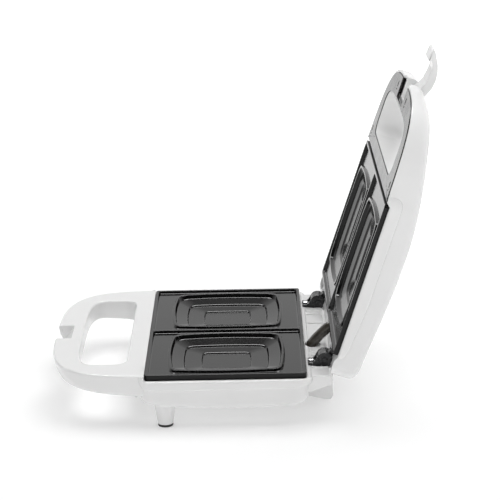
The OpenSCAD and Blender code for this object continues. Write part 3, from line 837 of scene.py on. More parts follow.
def body_bowl():
    """The tray: rim band round the plate, lower wall, curved bottom and the inside."""
    K, MX, MY = 8, 20, 44

    def outline(ins, pan=False, r=9.0):
        if pan:
            cx, cy, hx, hy = 0, (-129 + 1.6) / 2, 107.1, (129 + 1.6) / 2
        else:
            cx, cy, hx, hy = 0, (-131.2 + 4.6) / 2, 109.0, (131.2 + 4.6) / 2
        return rrect(cx, cy, hx - ins, hy - ins, max(r - ins, 0.6), K, MX, MY)

    def step_top(y, x):
        # flush with the handle's top in front of the plate, lower beside it
        t = np.clip((y + 126.6) / 1.9, 0, 1)
        t = t * t * (3 - 2 * t)
        return -0.06 + t * (-4.0 + 0.06)

    rows = []

    def add(ins, z, pan=False, r=9.0):
        p = outline(ins, pan, r)
        zz = z(p) if callable(z) else np.full(len(p), float(z))
        rows.append(np.column_stack([p, zz]))

    top = lambda p: step_top(p[:, 1], p[:, 0])
    low = lambda p: flange_low(p[:, 1])
    rows_top = [(4.55, -1.2), (4.5, -0.7), (4.3, -0.32), (3.9, -0.08), (3.4, 0.0), (1.75, 0.0), (1.45, -0.02), (0.98, -0.16), (0.55, -0.42), (0.22, -0.8), (0.04, -1.28), (0.0, -1.7)]
    # inside floor and wall first
    add(40, -21.5, True)
    add(8.0, -21.5, True)
    add(4.6, -20.6, True)
    add(2.6 + 1.9, -17.5, True)
    add(4.4, -8.2, True)
    for ins, dz in rows_top:
        if ins >= 4.3:
            # inner edge follows the plate
            add(ins - 0.0, (lambda d: (lambda p: top(p) + d))(dz), False, 6.0)
        else:
            add(ins, (lambda d: (lambda p: top(p) + d))(dz), False, 9.0 if ins < 2 else 8.0)

    def clampz(p, z):
        # the band never turns inside out where its lower edge meets the top in front
        return np.minimum(z, top(p) - 0.35)

    add(0.0, lambda p: clampz(p, np.minimum(low(p) + 1.5, top(p) - 1.7)))
    add(0.12, lambda p: clampz(p, low(p) + 0.75))
    add(0.42, lambda p: clampz(p, low(p) + 0.25))
    add(0.95, lambda p: clampz(p, low(p)))
    add(0.0, lambda p: clampz(p, low(p) - 0.02) - 0.0, True)
    add(0.05, lambda p: clampz(p, low(p) - 0.5), True)
    for f, ins in ((0.3, 0.12), (0.6, 0.3)):
        add(ins, (lambda f: (lambda p: (low(p) - 0.5) * (1 - f) + f * (pan_bottom(p[:, 1]) + 5.0)))(f), True)
    for ins, rise in fillet_rows(5.0, 6):
        add(0.45 + ins, (lambda rr: (lambda p: pan_bottom(p[:, 1]) + rr))(rise), True, 9.5)
    for ins in (6.2, 12, 20, 30, 42, 54, 64):
        p = outline(ins, True, 9.5)
        rows.append(np.column_stack([p, pan_bottom(p[:, 1])]))
    m = Mesh()
    ids = m.loft([r.tolist() for r in rows])
    m.cap(ids[0])
    m.cap(ids[-1])
    return obj_from("body", m)


def hinge_deck():
    prof = round_poly([(-3, -4.5), (17.4, -4.5), (20.5, -7.0), (19.3, -12.2), (1.6, -18.0), (-3, -18.0)], [0, 1.6, 1.4, 1.6, 0.6, 0], 4)
    return prism_x("deck", prof, -99.4, 99.4, 0.9)


def make_base():
    base = body_bowl()
    deck = hinge_deck()
    boolean(base, deck, "UNION")
    # front legs
    for s in (1, -1):
        leg = lathe("leg", [(5.0, -42.0), (5.9, -42.0), (6.15, -41.8), (6.22, -41.4), (8.2, -27.0), (8.7, -25.2), (9.6, -24.0), (9.8, -22.5), (5.0, -22.5)], "z", (s * 96, -110, 0), 48)
        boolean(base, leg, "UNION")
    loop = handle_loop_base()
    # latch notch in the nose
    prof = [(-210, 3.0), (-187.9, 3.0), (-188.8, 0.0), (-196.1, -9.8), (-197.2, -13.0), (-197.2, -20), (-210, -20)]
    boolean(loop, block("c", -120, 120, -125.35, -100, -40, 10, 0.5, 0.1), "DIFFERENCE")
    fill = prism_x("fill", [(-199.6, -1.2), (-185.6, -1.2), (-185.6, -13.9), (-197.2, -12.6), (-198.4, -9)], -17.8, 17.8, 0.3)
    boolean(loop, fill, "UNION")
    notch = prism_x("notch", prof, -15.5, 15.5, 0.01)
    boolean(loop, notch, "DIFFERENCE")
    boolean(base, loop, "UNION")
    # room for the hinge barrels, and the conduit's opening
    for s in (1, -1):
        cut = block("cut", s * 70.5 - 7.7, s * 70.5 + 7.7, 7.4, 30, -7.2, 3, 0.8, 0.5)
        boolean(base, cut, "DIFFERENCE")
    cut = block("cut", 21.6, 34.4, 0.9, 13.6, -8.5, 2, 5.2, 0.4)
    boolean(base, cut, "DIFFERENCE")
    base.name = "base_housing_shell"
    tidy(base, angle=32)
    piece(base, "base", WHITE, ["base_housing"])
    # ribs on the hinge deck
    ribs = []
    for x in (-81, -54, -45, -23, 45, 54, 81):
        ribs.append(block("rib", x - 0.9, x + 0.9, 4.6, 17.2, -5.2, -3.75, 0.85, 0.5, k=3))
    r = join("deck_ribs", ribs)
    tidy(r, angle=40)
    piece(r, "base", WHITE)


make_base()


def make_stand_and_feet():
    prof = round_poly([(3.4, -17.9), (18.4, -13.0), (21.3, -13.6), (22.8, -40.4), (20.9, -43.4), (14.5, -43.0), (3.0, -40.4), (2.4, -26.6), (2.4, -19)],
                      [0.4, 0.8, 1.2, 2.2, 1.8, 1.5, 1.6, 1.0, 0.6], 4)
    st = prism_x("rear_stand_shell", prof, -50.8, 50.8, 1.2)
    inner = prism_x("in", [(5.2, -20), (17.2, -15.9), (19.1, -16.4), (20.4, -39.6), (19.0, -40.4), (5.2, -38.2)], -48.6, 48.6, 0.01)
    boolean(st, inner, "DIFFERENCE")
    hole = lathe("h", [(5.5, 17), (5.5, 27)], "y", (30, 0, -28), 32)
    boolean(st, hole, "DIFFERENCE")
    tidy(st, angle=35)
    piece(st, "base", WHITE, ["rear_stand"])
    for s, nm in ((1, "right"), (-1, "left")):
        # front pad: black rubber with a slightly slimmer neck
        p = lathe("front_pad_" + nm, [(2, -44.0), (5.4, -44.0), (5.85, -43.85), (6.05, -43.5), (6.05, -42.35), (5.9, -42.05), (2, -41.9)], "z", (s * 96, -110, 0), 48)
        tidy(p, angle=50)
        piece(p, "base", RUBBER, ["front_foot_pads"] if s > 0 else ())
        q = block("rear_pad_" + nm, s * 38 - 9, s * 38 + 9, 12.6, 20.4, -44.0, -42.2, 3.4, 0.35, k=8)
        tidy(q, angle=50)
        piece(q, "base", RUBBER, ["rear_foot_pads"] if s > 0 else ())


def ring_lathe(name, prof, axis, at, n=48, lid=False):
    """Closed turned ring: the profile is a closed loop that doesn't touch the axis."""
    m = Mesh()
    rings = []
    for r, h in prof:
        pts = []
        for i in range(n):
            a = 2 * math.pi * i / n
            c, s = r * math.cos(a), r * math.sin(a)
            d = {"z": (c, s, h), "x": (h, c, s), "y": (s, h, c)}[axis]
            pts.append((at[0] + d[0], at[1] + d[1], at[2] + d[2]))
        rings.append(pts)
    m.loft(rings, wrap=True)
    return obj_from(name, m, lid)


make_stand_and_feet()
bush = ring_lathe("cord_bushing", [(3.4, 18.5), (3.6, 18.25), (6.2, 18.2), (6.55, 18.5), (6.55, 19.2), (6.2, 19.5), (5.45, 19.6), (5.45, 22.2), (7.2, 22.25), (7.5, 22.4), (7.5, 22.7),
                                   (7.1, 22.92), (6.2, 23.0), (4.0, 23.0), (3.6, 22.92), (3.4, 22.7)], "y", (30, 0, -28))
tidy(bush, angle=50)
piece(bush, "base", RUBBER, ["cord_inlet_bushing"])


def handle_cover():
    """Curved cover under the base's handle, with a fine seam round it."""
    N = 220
    outer = dense(nose_curve(-126.6), 0.4)
    pts = sample_by_length(outer, N)
    ang = np.arctan2(pts[:, 1] - CEN[1], pts[:, 0] - CEN[0])
    idx = np.array([np.argmin(np.hypot(outer[:, 0] - x, outer[:, 1] - y)) for x, y in pts])
    nr = normals2d(outer)[idx]
    front = np.clip((-pts[:, 1] - 150) / 45, 0, 1)
    ins0 = front**2 * 2.2 + 4.9
    hole = by_angle(HOLE, CEN, ang)
    hidx = np.array([np.argmin(np.hypot(HOLE[:, 0] - x, HOLE[:, 1] - y)) for x, y in hole])
    hn = normals2d(HOLE)[hidx]

    def o(extra, off):
        p = pts - nr * (ins0 + extra)[:, None]
        p[:, 1] = np.minimum(p[:, 1], -129.4)
        return np.column_stack([p, base_under(p[:, 1]) + off])

    def h(g, off):
        p = hole + hn * g
        return np.column_stack([p, base_under(p[:, 1]) + off])

    rows = [o(0.0, 1.8), o(0.0, 0.35), o(0.1, 0.1), o(0.35, 0.0), o(0.6, 0.0)]
    a, b = rows[-1], h(2.7, 0.0)
    for t in (0.2, 0.4, 0.6, 0.8):
        q = a * (1 - t) + b * t
        q[:, 2] = base_under(q[:, 1])
        rows.append(q)
    rows += [b, h(2.45, 0.0), h(2.25, 0.1), h(2.2, 0.35), h(2.2, 1.8)]
    a, b = rows[-1], rows[0]
    for t in (0.2, 0.4, 0.6, 0.8):
        q = a * (1 - t) + b * t
        q[:, 2] = base_under(q[:, 1]) + 1.8
        rows.append(q)
    m = Mesh()
    m.loft([r.tolist() for r in rows], wrap=True)
    c = obj_from("handle_cover", m)
    cut = prism_x("n", [(-215, 3), (-187, 3), (-187, -30), (-215, -30)], -16.4, 16.4, 0.01)
    boolean(c, cut)
    for x, y in ((90, -150), (-90, -150), (0, -134)):
        boolean(c, lathe("h", [(3.1, -30), (3.1, -16.9 if y > -140 else -15.9), (1.7, -16.9 if y > -140 else -15.9), (1.7, 0)], "z", (x, y, 0), 24))
    tidy(c, angle=35)
    piece(c, "base", WHITE, ["base_handle_cover"])


handle_cover()


# ------------------------------------------------------------------ lid
LID_ROOF = [(-204, 15.6), (-196, 17.0), (-187, 18.7), (-174, 20.7), (-160, 23.2), (-145, 25.8), (-124, 28.9), (-106, 30.6), (-93, 31.1), (-71, 30.9), (-50, 29.9),
            (-31, 28.6), (-11, 27.0), (7, 25.9), (18, 25.2)]
LID_BAND = [(-134.4, 4.6), (-134.0, 6.6), (-133.5, 8.3), (-132.4, 10.1), (-130.6, 11.8), (-128.4, 12.8), (-126, 13.3), (-118, 13.5), (-50, 13.5), (-28, 12.1),
            (-9, 10.4), (-1, 8.6), (3, 6.6), (5, 5.6)]


def lid_roof(y):
    return smooth_interp(y, LID_ROOF)


def lid_outline():
    """Whole outline of the lid's shell, closed and dense."""
    t = np.linspace(0, 1, 400)
    d = 71.0 * np.sin(t * math.pi / 2)
    right = [(float(nose_half(v)), -131 - float(v)) for v in d]
    left = [(-x, y) for x, y in reversed(right[:-1])]
    w, r = 106.4, 9.0
    yb = 16.4
    back = arc(-w + r, yb - r, r, 180, 90, 12) + arc(w - r, yb - r, r, 90, 0, 12)
    pts = [(w, -120.0), (w - 0.3, -125.0), (w - 0.9, -128.5)] + right + left + [(-(w - 0.9), -128.5), (-(w - 0.3), -125.0), (-w, -120.0)] + back
    return dense(ccw(np.array(pts)), 0.5)


def lid_shell():
    N = 330
    outer = lid_outline()
    pts = sample_by_length(outer, N, lambda p: 1 + 0.9 * (p[:, 1] < -165) + 0.7 * (p[:, 1] > 2))
    ang = np.arctan2(pts[:, 1] - CEN[1], pts[:, 0] - CEN[0])
    idx = np.array([np.argmin(np.hypot(outer[:, 0] - x, outer[:, 1] - y)) for x, y in pts])
    nr = normals2d(outer)[idx]
    hole = by_angle(HOLE, CEN, ang)
    hidx = np.array([np.argmin(np.hypot(HOLE[:, 0] - x, HOLE[:, 1] - y)) for x, y in hole])
    hn = normals2d(HOLE)[hidx]
    R = np.interp(pts[:, 1], [-202, -185, -150, 4, 12], [8.5, 7.0, 6.0, 6.0, 7.0])
    side = np.abs(pts[:, 0]) / 106.0

    def bottom(p):
        # lower edge: parting plane at the handle, hidden in the band beside the plate, open at the back
        y = pts[:, 1]
        return np.interp(y, [-134.0, -131.5, -127.0, -2.0, 2.0, 6.0, 12.0, 16.3, 16.4], [0.95, 2.3, 7.0, 6.0, 3.0, 2.2, 2.6, 4.2, 5.0])

    def crown(x):
        return -1.6 * (np.asarray(x) / 106.0) ** 2

    def side_row(ins, z):
        p = pts - nr * (ins[:, None] if hasattr(ins, "__len__") else ins)
        return np.column_stack([p, z])

    zb = bottom(None)
    zt = lid_roof(pts[:, 1]) + crown(pts[:, 0])
    rows = []
    # bottom rim (outer side), rounded
    rows.append(side_row(1.6, zb))
    rows.append(side_row(0.5, zb))
    rows.append(side_row(0.12, zb + 0.15))
    rows.append(side_row(0.0, zb + 0.5))
    zs = zt - R
    for f in (0.33, 0.66):
        rows.append(side_row(0.0, (zb + 0.5) * (1 - f) + zs * f))
    n = 7
    for i in range(n + 1):
        a = math.pi / 2 * i / n
        rows.append(side_row(R * (1 - math.cos(a)), zs + R * math.sin(a)))
    a = rows[-1]
    b = np.column_stack([hole + hn * 3.0, np.zeros(N)])
    for t in np.concatenate([[0.02, 0.05, 0.09, 0.14, 0.2], np.linspace(0.26, 0.94, 24), [0.98]]):
        q = a * (1 - t) + b * t
        q[:, 2] = lid_roof(q[:, 1]) + crown(q[:, 0])
        rows.append(q)

    def hole_row(g, z):
        p = hole + hn * g
        return np.column_stack([p, z])

    hz = lid_roof(hole[:, 1]) + crown(hole[:, 0])
    for ins, drop in reversed(fillet_rows(2.6, 5)):
        rows.append(hole_row(ins, hz - drop))
    rows.append(hole_row(0.0, np.full(N, 12.0)))
    rows.append(hole_row(0.0, np.full(N, 1.25)))
    rows.append(hole_row(0.06, np.full(N, 1.0)))
    rows.append(hole_row(0.22, np.full(N, 0.9)))
    rows.append(hole_row(0.75, np.full(N, 0.9)))
    rows.append(hole_row(0.85, np.full(N, 1.1)))
    rows.append(hole_row(0.85, np.full(N, 3.0)))
    rows.append(hole_row(2.1, np.full(N, 3.6)))
    rows.append(hole_row(2.1, hz - 3.4))
    rows.append(hole_row(3.2, hz - 2.3))
    # inner roof
    a = rows[-1]
    Ri = R - 2.2
    inner_edge = side_row(R, zt - 2.2)
    for t in np.concatenate([np.linspace(0.04, 0.86, 16), [0.93, 0.98]]):
        q = a * (1 - t) + inner_edge * t
        q[:, 2] = lid_roof(q[:, 1]) + crown(q[:, 0]) - 2.2
        rows.append(q)
    for i in range(4, -1, -1):
        an = math.pi / 2 * i / 4
        rows.append(side_row(2.2 + Ri * (1 - math.cos(an)), zs + Ri * math.sin(an)))
    rows.append(side_row(2.2, zb + 0.4))
    rows.append(side_row(2.05, zb + 0.1))
    m = Mesh()
    m.loft([r.tolist() for r in rows], wrap=True)
    return obj_from("lid_housing_shell", m, lid=False)


def to_lid(o):
    """Swings a mesh drawn in shut-lid coordinates (already in metres) to the open lid."""
    co = np.zeros(len(o.data.vertices) * 3, np.float64)
    o.data.vertices.foreach_get("co", co)
    co = co.reshape(-1, 3) * 1000 - np.array([0, OY, OZ])
    co = row(swing(co))
    o.data.vertices.foreach_set("co", co.astype(np.float32).ravel())
    o.data.update()
    return o


def lid_band():
    """Rim band round the upper plate: a ring with a rounded lip and a soft step up to the shell."""
    K, MX, MY = 8, 20, 44

    def outline(ins, r=9.5):
        cx, cy, hx, hy = 0, (-134.2 + 4.2) / 2, 109.0, (134.2 + 4.2) / 2
        return rrect(cx, cy, hx - ins, hy - ins, max(r - ins, 0.6), K, MX, MY)

    rows = []

    def add(ins, z, r=9.5):
        p = outline(ins, r)
        zz = z(p) if callable(z) else np.full(len(p), float(z))
        rows.append(np.column_stack([p, zz]))

    def lip(p):
        # flush with the handle in front of the plate, set back beside it
        t = np.clip((p[:, 1] + 127.2) / 2.0, 0, 1)
        t = t * t * (3 - 2 * t)
        return 1.1 + t * (3.9 - 1.1)

    top = lambda p: smooth_interp(p[:, 1], LID_BAND)
    hi = lambda p: np.maximum(top(p), lip(p) + 0.9)
    add(5.0, lambda p: np.maximum(lip(p) + 3.0, 7.0) * 0 + lip(p) + 2.4, 6)
    add(4.55, lambda p: lip(p) + 1.0, 6)
    add(4.4, lambda p: lip(p) + 0.45, 6)
    add(4.0, lambda p: lip(p) + 0.1)
    add(3.4, lip)
    add(1.7, lip)
    add(1.35, lambda p: lip(p) + 0.03)
    add(0.85, lambda p: lip(p) + 0.2)
    add(0.42, lambda p: lip(p) + 0.48)
    add(0.12, lambda p: lip(p) + 0.9)
    add(0.0, lambda p: lip(p) + 1.4)
    add(0.0, lambda p: np.maximum(hi(p) - 1.9, lip(p) + 1.5))
    add(0.1, lambda p: np.maximum(hi(p) - 1.2, lip(p) + 1.6))
    add(0.4, lambda p: np.maximum(hi(p) - 0.6, lip(p) + 1.7))
    add(0.9, lambda p: np.maximum(hi(p) - 0.2, lip(p) + 1.8))
    add(1.5, lambda p: np.maximum(hi(p), lip(p) + 1.85))
    add(4.2, lambda p: np.maximum(hi(p) - 0.2, lip(p) + 1.9), 6)
    m = Mesh()
    m.loft([r.tolist() for r in rows], wrap=True)
    return obj_from("band", m, lid=False)


def make_lid():
    shell = lid_shell()
    band = lid_band()
    boolean(shell, band, "UNION")
    # deck behind the plate
    deck = block("deck", -99.5, 99.5, 0.6, 15.2, 5.1, 7.3, 0.6, 0.3)
    boolean(shell, deck, "UNION")
    # ears of the latch pin and the recess' back wall
    for s in (1, -1):
        ear = prism_x("ear", [(-200.6, 3.0), (-184.4, 3.0), (-184.4, 17.6), (-196.0, 15.6), (-200.2, 11.0)], s * 15.2 - 1.9, s * 15.2 + 1.9, 0.3)
        boolean(shell, ear, "UNION")
    back = prism_x("backwall", [(-186.2, 2.8), (-184.0, 2.8), (-184.0, 18.0), (-186.2, 17.8)], -17.0, 17.0, 0.2)
    boolean(shell, back, "UNION")
    cut = prism_x("rec", round_poly([(-215, -3), (-186.2, -3), (-186.2, 30), (-215, 30)], [0, 1.2, 1.2, 0], 3), -13.2, 13.2, 0.6)
    boolean(shell, cut)
    cut = prism_x("rec2", [(-215, -3), (-183.6, -3), (-183.6, 2.6), (-215, 2.6)], -20.2, 20.2, 0.2)
    boolean(shell, cut)
    # seat of the panel's back edge
    boolean(shell, block("c", -102.4, 102.4, -136.5, -120.0, -2, 2.6, 0.6, 0.1))
    # hinge barrel clearance, conduit opening, lamp holes
    for s in (1, -1):
        boolean(shell, block("c", s * 70.5 - 7.9, s * 70.5 + 7.9, 7.0, 30, -5, 8.2, 0.8, 0.4))
    boolean(shell, block("c", 21.6, 34.4, 0.9, 11.4, 2, 9, 5.2, 0.3))
    for x in (-12, 12):
        boolean(shell, lathe("c", [(3.6, 15), (3.6, 45)], "z", (x, -118, 0), 32))
    to_lid(shell)
    tidy(shell, angle=32)
    piece(shell, "lid", WHITE, ["lid_housing"])


make_lid()


def make_panel():
    N = 240
    outer = dense(nose_curve(-126.0), 0.4)
    pts = sample_by_length(outer, N)
    ang = np.arctan2(pts[:, 1] - CEN[1], pts[:, 0] - CEN[0])
    idx = np.array([np.argmin(np.hypot(outer[:, 0] - x, outer[:, 1] - y)) for x, y in pts])
    nr = normals2d(outer)[idx]
    hole = by_angle(HOLE, CEN, ang)
    hidx = np.array([np.argmin(np.hypot(HOLE[:, 0] - x, HOLE[:, 1] - y)) for x, y in hole])
    hn = normals2d(HOLE)[hidx]

    def o(ins, z):
        p = pts - nr * ins
        p[:, 1] = np.minimum(p[:, 1], -125.15 - max(ins - 2.45, 0) * 0.6)
        return np.column_stack([p, np.full(N, z)])

    def h(g, z):
        return np.column_stack([hole + hn * g, np.full(N, z)])

    z0 = 0.3
    rows = [o(2.45, 1.2), o(2.45, z0 + 0.22), o(2.5, z0 + 0.06), o(2.66, z0), o(3.1, z0)]
    a, b = rows[-1], h(1.5, z0)
    for t in (0.05, 0.5, 0.95):
        rows.append(a * (1 - t) + b * t)
    rows += [b, h(1.2, z0), h(1.05, z0 + 0.06), h(1.0, z0 + 0.22), h(1.0, 1.2)]
    m = Mesh()
    m.loft([r.tolist() for r in rows], wrap=True)
    p = obj_from("handle_panel", m, lid=False)
    boolean(p, prism_x("c", [(-215, -3), (-183.4, -3), (-183.4, 6), (-215, 6)], -20.4, 20.4, 0.01))
    # clip slots: a short slot with a dot after it
    for x, y in ((34, -190.5), (-34, -190.5), (93, -137.5), (-93, -137.5)):
        boolean(p, block("c", x - 1.5, x + 1.5, y - 3.4, y + 1.6, -2, 1.5, 0.7, 0.1, k=3))
        boolean(p, block("c", x - 1.3, x + 1.3, y + 2.6, y + 4.3, -2, 1.5, 0.6, 0.1, k=3))
    to_lid(p)
    tidy(p, angle=40)
    piece(p, "lid", PANEL, ["lid_handle_panel"])


make_panel()


def make_latch():
    prof = [(-194.2, 8.6), (-193.2, 12.5), (-194.3, 16.2), (-197.6, 18.0), (-203, 20.1), (-209.9, 21.0), (-216.4, 20.3), (-222.1, 18.6), (-227.0, 15.8), (-231.3, 13.4), (-233.0, 11.7),
            (-231.6, 10.5), (-224.0, 9.9), (-222.9, 10.9), (-224.6, 12.2), (-222.6, 14.2), (-217.5, 15.4), (-212.3, 14.9), (-206.2, 13.9), (-201.8, 11.9), (-198.0, 8.9), (-196.0, 8.2)]
    prof = round_poly(prof, [1.2, 1.2, 1.6, 3, 6, 8, 6, 3, 2, 0.8, 0.7, 0.6, 0.6, 0.4, 0.8, 2, 4, 6, 4, 2, 1.2, 1.2], 3)
    o = prism_x("latch_clip", prof, -12, 12, 0.7, lid=True, seg=3)
    tidy(o, angle=40)
    piece(o, "latch", WHITE, ["latch"])
    pin = lathe("latch_axle", [(0.9, -17), (1.45, -16.7), (1.5, -16.2), (1.5, 16.2), (1.45, 16.7), (0.9, 17)], "x", (0, -196, 12.5), 24, lid=True)
    tidy(pin, angle=50)
    piece(pin, "lid", STEEL, ["latch_pin"])


make_latch()


# ------------------------------------------------------------------ hinges
def screw_head(name, x, y, z, r, h, up=1, lid=False):
    """Pan head with a cross recess."""
    prof = [(0.6, z), (r, z), (r, z + up * h * 0.35), (r * 0.93, z + up * h * 0.62), (r * 0.72, z + up * h * 0.88), (r * 0.4, z + up * h), (0.3, z + up * h)]
    o = lathe(name, prof, "z", (x, y, 0), 28)
    for w, l in ((0.32 * r, 1.1 * r), (1.1 * r, 0.32 * r)):
        lo, hi = sorted((z + up * h * 0.45, z + up * h * 1.4))
        boolean(o, block("c", x - w / 2, x + w / 2, y - l / 2, y + l / 2, lo, hi, 0.05, 0.02, k=1))
    if lid:
        to_lid(o)
    tidy(o, angle=35)
    return o


def make_hinges():
    for s, nm in ((1, "right"), (-1, "left")):
        parts = []
        foot = block("f", s * 70.5 - 6.5, s * 70.5 + 6.5, 1.9, 9.0, -4.55, -2.2, 0.8, 0.45)
        parts.append(foot)
        ear = round_poly([(5.6, -4.4), (9.2, -4.9)] + [(15 + 6.3 * math.cos(math.radians(a)), 6.3 * math.sin(math.radians(a))) for a in range(-128, 150, 14)] + [(7.4, -0.6), (5.6, -2.4)], 0.5, 2)
        for x0, x1 in ((64.0, 66.8), (74.2, 77.0)):
            a, b = sorted((s * x0, s * x1))
            parts.append(prism_x("e", ear, a, b, 0.35, seg=2))
            cx = s * (x0 + x1) / 2
            out = s * (0.0)
        o = parts[0]
        for p in parts[1:]:
            boolean(o, p, "UNION")
        boolean(o, lathe("c", [(2.5, -90), (2.5, 90)], "x", (0, 15, 0), 32))
        o.name = "hinge_base_" + nm
        tidy(o, angle=40)
        piece(o, "base", HARDWARE, ["hinge_base_bracket_" + nm])
        # lid half: knuckle, arm and foot
        kn = round_poly([(15 + 6.2 * math.cos(math.radians(a)), 6.2 * math.sin(math.radians(a))) for a in range(-170, 100, 15)] + [(13.6, 5.1), (5.4, 5.1), (5.0, 3.8), (5.6, 2.5), (9.0, 1.2)], 0.5, 2)
        a, b = sorted((s * 67.15, s * 73.85))
        k = prism_x("k", kn, a, b, 0.35, seg=2)
        f = block("f", s * 70.5 - 6.5, s * 70.5 + 6.5, 1.9, 7.9, 2.6, 5.1, 0.8, 0.4)
        boolean(k, f, "UNION")
        boolean(k, lathe("c", [(2.56, -90), (2.56, 90)], "x", (0, 15, 0), 32))
        to_lid(k)
        k.name = "hinge_lid_" + nm
        tidy(k, angle=40)
        piece(k, "lid", HARDWARE, ["hinge_lid_bracket_" + nm])
        # pin with rounded ends
        a, b = sorted((s * 63.5, s * 77.5))
        pin = lathe("pin_" + nm, [(1.2, a), (2.1, a + 0.05), (2.45, a + 0.4), (2.48, a + 0.9), (2.48, b - 0.9), (2.45, b - 0.4), (2.1, b - 0.05), (1.2, b)], "x", (0, 15, 0), 32)
        tidy(pin, angle=50)
        piece(pin, "base", HARDWARE, ["hinge_pin_" + nm])
        sb = screw_head("screw_base_" + nm, s * 70.5, 4.6, -2.22, 2.8, 1.3)
        piece(sb, "base", STEEL, ["bracket_screws_base"] if s > 0 else ())
        sl = screw_head("screw_lid_" + nm, s * 70.5, 4.6, 2.62, 2.8, 1.25, up=-1, lid=True)
        piece(sl, "lid", STEEL, ["bracket_screws_lid"] if s > 0 else ())


make_hinges()


def make_conduit():
    yz = [(5.6, -12.5), (5.4, -9.6), (5.6, -7.0), (6.6, -4.0), (8.6, -1.2), (11.0, 1.5), (13.3, 3.9), (15.6, 6.2), (17.9, 8.4), (20.3, 10.2), (22.8, 11.0), (25.5, 10.6), (28.4, 9.2)]
    P = np.array(yz, float)
    # smooth the path with a Catmull-Rom spline
    q = []
    for i in range(len(P) - 1):
        p0, p1, p2, p3 = P[max(i - 1, 0)], P[i], P[i + 1], P[min(i + 2, len(P) - 1)]
        for k in range(5):
            t = k / 5
            q.append(0.5 * ((2 * p1) + (-p0 + p2) * t + (2 * p0 - 5 * p1 + 4 * p2 - p3) * t * t + (-p0 + 3 * p1 - 3 * p2 + p3) * t**3))
    q.append(P[-1])
    q = np.array(q)
    tan = np.gradient(q, axis=0)
    tan /= np.linalg.norm(tan, axis=1, keepdims=True)
    m = Mesh()
    rings = []
    n = 40
    for (y, z), (ty, tz) in zip(q, tan):
        ny, nz = -tz, ty
        pts = []
        for i in range(n):
            a = 2 * math.pi * i / n
            rr = 4.35 + 0.10 * math.cos(2 * a)
            pts.append((28 + rr * math.cos(a), y + rr * math.sin(a) * ny, z + rr * math.sin(a) * nz))
        rings.append(pts)
    m.solid(rings)
    o = obj_from("wire_sleeve", m)
    tidy(o, angle=60, weighted=False)
    paint(o, SLEEVE)
    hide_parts("wire_conduit")
    tuple(row((28, 8.0, -5.5))[0])
    tuple(row((28, 21.5, 9.5))[0])
    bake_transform(o)


make_conduit()

# ------------------------------------------------------------------ CAD nodes that stay
STAY = {
    "lower_heating_element": ELEMENT, "upper_heating_element": ELEMENT, "lower_element_clamps": STEEL, "upper_element_clamps": STEEL,
    "lower_reflector": REFLECT, "upper_reflector": REFLECT, "lower_plate_screws": STEEL, "upper_plate_screws": STEEL, "stand_screws": STEEL,
    "cover_screws": STEEL, "thermostat": CERAMIC, "thermal_fuse": CERAMIC, "terminal_block": CERAMIC, "base_leads": BRAID, "lid_leads": BRAID,
    "pilot_lamp_red": GLASS, "pilot_lamp_green": GLASS, "lamp_lens_red": LENS_RED, "lamp_lens_green": LENS_GREEN,
}
for n, mat in STAY.items():
    paint(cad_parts[n], mat)


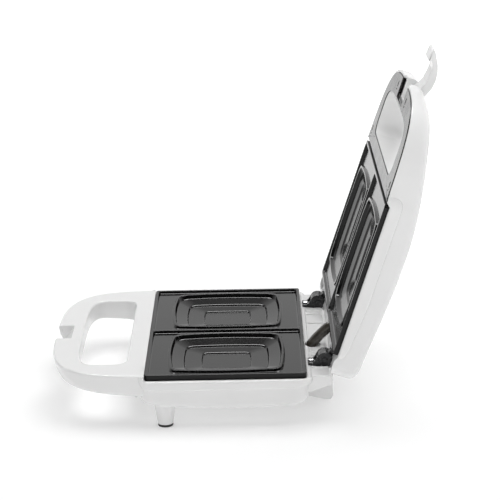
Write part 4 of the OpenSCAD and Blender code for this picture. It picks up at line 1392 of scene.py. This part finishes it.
# ------------------------------------------------------------------ studio
def make_studio():
    m = Mesh()
    r = m.ring([(-6000, -6000, -44.0), (6000, -6000, -44.0), (6000, 6000, -44.0), (-6000, 6000, -44.0)])
    m.cap(r)
    floor = obj_from("floor", m)
    fm, nt, b = new_mat("floor_white")
    tc = coords(nt)
    n1 = tex(nt, "ShaderNodeTexNoise", 3, Detail=2.0)
    nt.links.new(tc.outputs["Object"], n1.inputs["Vector"])
    rr = ramp(nt, n1.outputs["Fac"], [(0.4, (0.715, 0.715, 0.715)), (0.6, (0.725, 0.725, 0.725))])
    nt.links.new(rr.outputs[0], b.inputs["Base Color"])
    b.inputs["Roughness"].default_value = 0.9
    b.inputs["Specular IOR Level"].default_value = 0.1
    # painted light: the floor glows, weakly near the object and fully away from it, so the sweep is a little brighter
    # away from the object
    far = nt.nodes.new("ShaderNodeVectorMath")
    far.operation = "LENGTH"
    nt.links.new(tc.outputs["Object"], far.inputs[0])
    painted_floor_glow = map_range(nt, far.outputs["Value"], 0.32, 0.66, 0.26, 1.0)
    b.inputs["Emission Color"].default_value = (1, 1, 1, 1)
    nt.links.new(painted_floor_glow.outputs[0], b.inputs["Emission Strength"])
    paint(floor, fm)

    # surround: a bright low band behind the object, dim overhead
    w = bpy.data.worlds.new("world")
    scene.world = w
    w.use_nodes = True
    wt = w.node_tree
    bg = wt.nodes["Background"]
    bg.inputs[0].default_value = (1.0, 1.0, 1.0, 1)
    g = wt.nodes.new("ShaderNodeTexCoord")
    sep = wt.nodes.new("ShaderNodeSeparateXYZ")
    wt.links.new(g.outputs["Generated"], sep.inputs[0])
    up = ramp(wt, sep.outputs["Z"], [(0.0, (1.0,) * 3), (0.20, (0.92,) * 3), (0.42, (0.86,) * 3), (0.58, (0.80,) * 3), (0.66, (0.52,) * 3), (0.72, (0.10,) * 3), (0.77, (0.02,) * 3), (1.0, (0.02,) * 3)])
    sx = map_range(wt, sep.outputs["X"], 0.0, 1.0, -0.45, 0.15)
    sx.interpolation_type = "SMOOTHSTEP"
    sz = map_range(wt, sep.outputs["Z"], 0.0, 1.0, 0.04, 0.25)
    sz.interpolation_type = "SMOOTHSTEP"
    m1 = wt.nodes.new("ShaderNodeMath")
    m1.operation = "MULTIPLY"
    wt.links.new(sx.outputs[0], m1.inputs[0])
    wt.links.new(sz.outputs[0], m1.inputs[1])
    dark = map_range(wt, m1.outputs[0], 1.0, 0.14)
    m2 = wt.nodes.new("ShaderNodeMath")
    m2.operation = "MULTIPLY"
    wt.links.new(up.outputs[0], m2.inputs[0])
    wt.links.new(dark.outputs[0], m2.inputs[1])
    wt.links.new(m2.outputs[0], bg.inputs[1])

    def area(name, loc, target, size, power, size_y=None, glossy=True, diffuse=True):
        d = bpy.data.lights.new(name, "AREA")
        d.energy, d.size, d.shape = power, size, "RECTANGLE"
        d.size_y = size_y or size
        o = bpy.data.objects.new(name, d)
        scene.collection.objects.link(o)
        p = Vector(loc)
        o.location = p
        o.rotation_euler = (Vector(target) - p).to_track_quat("-Z", "Y").to_euler()
        o.visible_glossy, o.visible_diffuse = glossy, diffuse
        return o

    area("overhead_fill", (-0.2, 0.5, 2.6), (0, 0, 0.05), 2.8, 68, 2.8, glossy=False)
    area("side_fill", (2.6, -0.2, 1.5), (0, 0, 0.15), 2.2, 17, 2.2, glossy=False)
    area("strip", (-0.96, -0.05, 1.80), (0, 0, 0.05), 1.6, 50, 0.62, diffuse=False)
    scene.view_settings.view_transform = "Standard"
    scene.view_settings.look = "None"
    scene.view_settings.exposure = 0.0


make_studio()

bpy.context.view_layer.update()
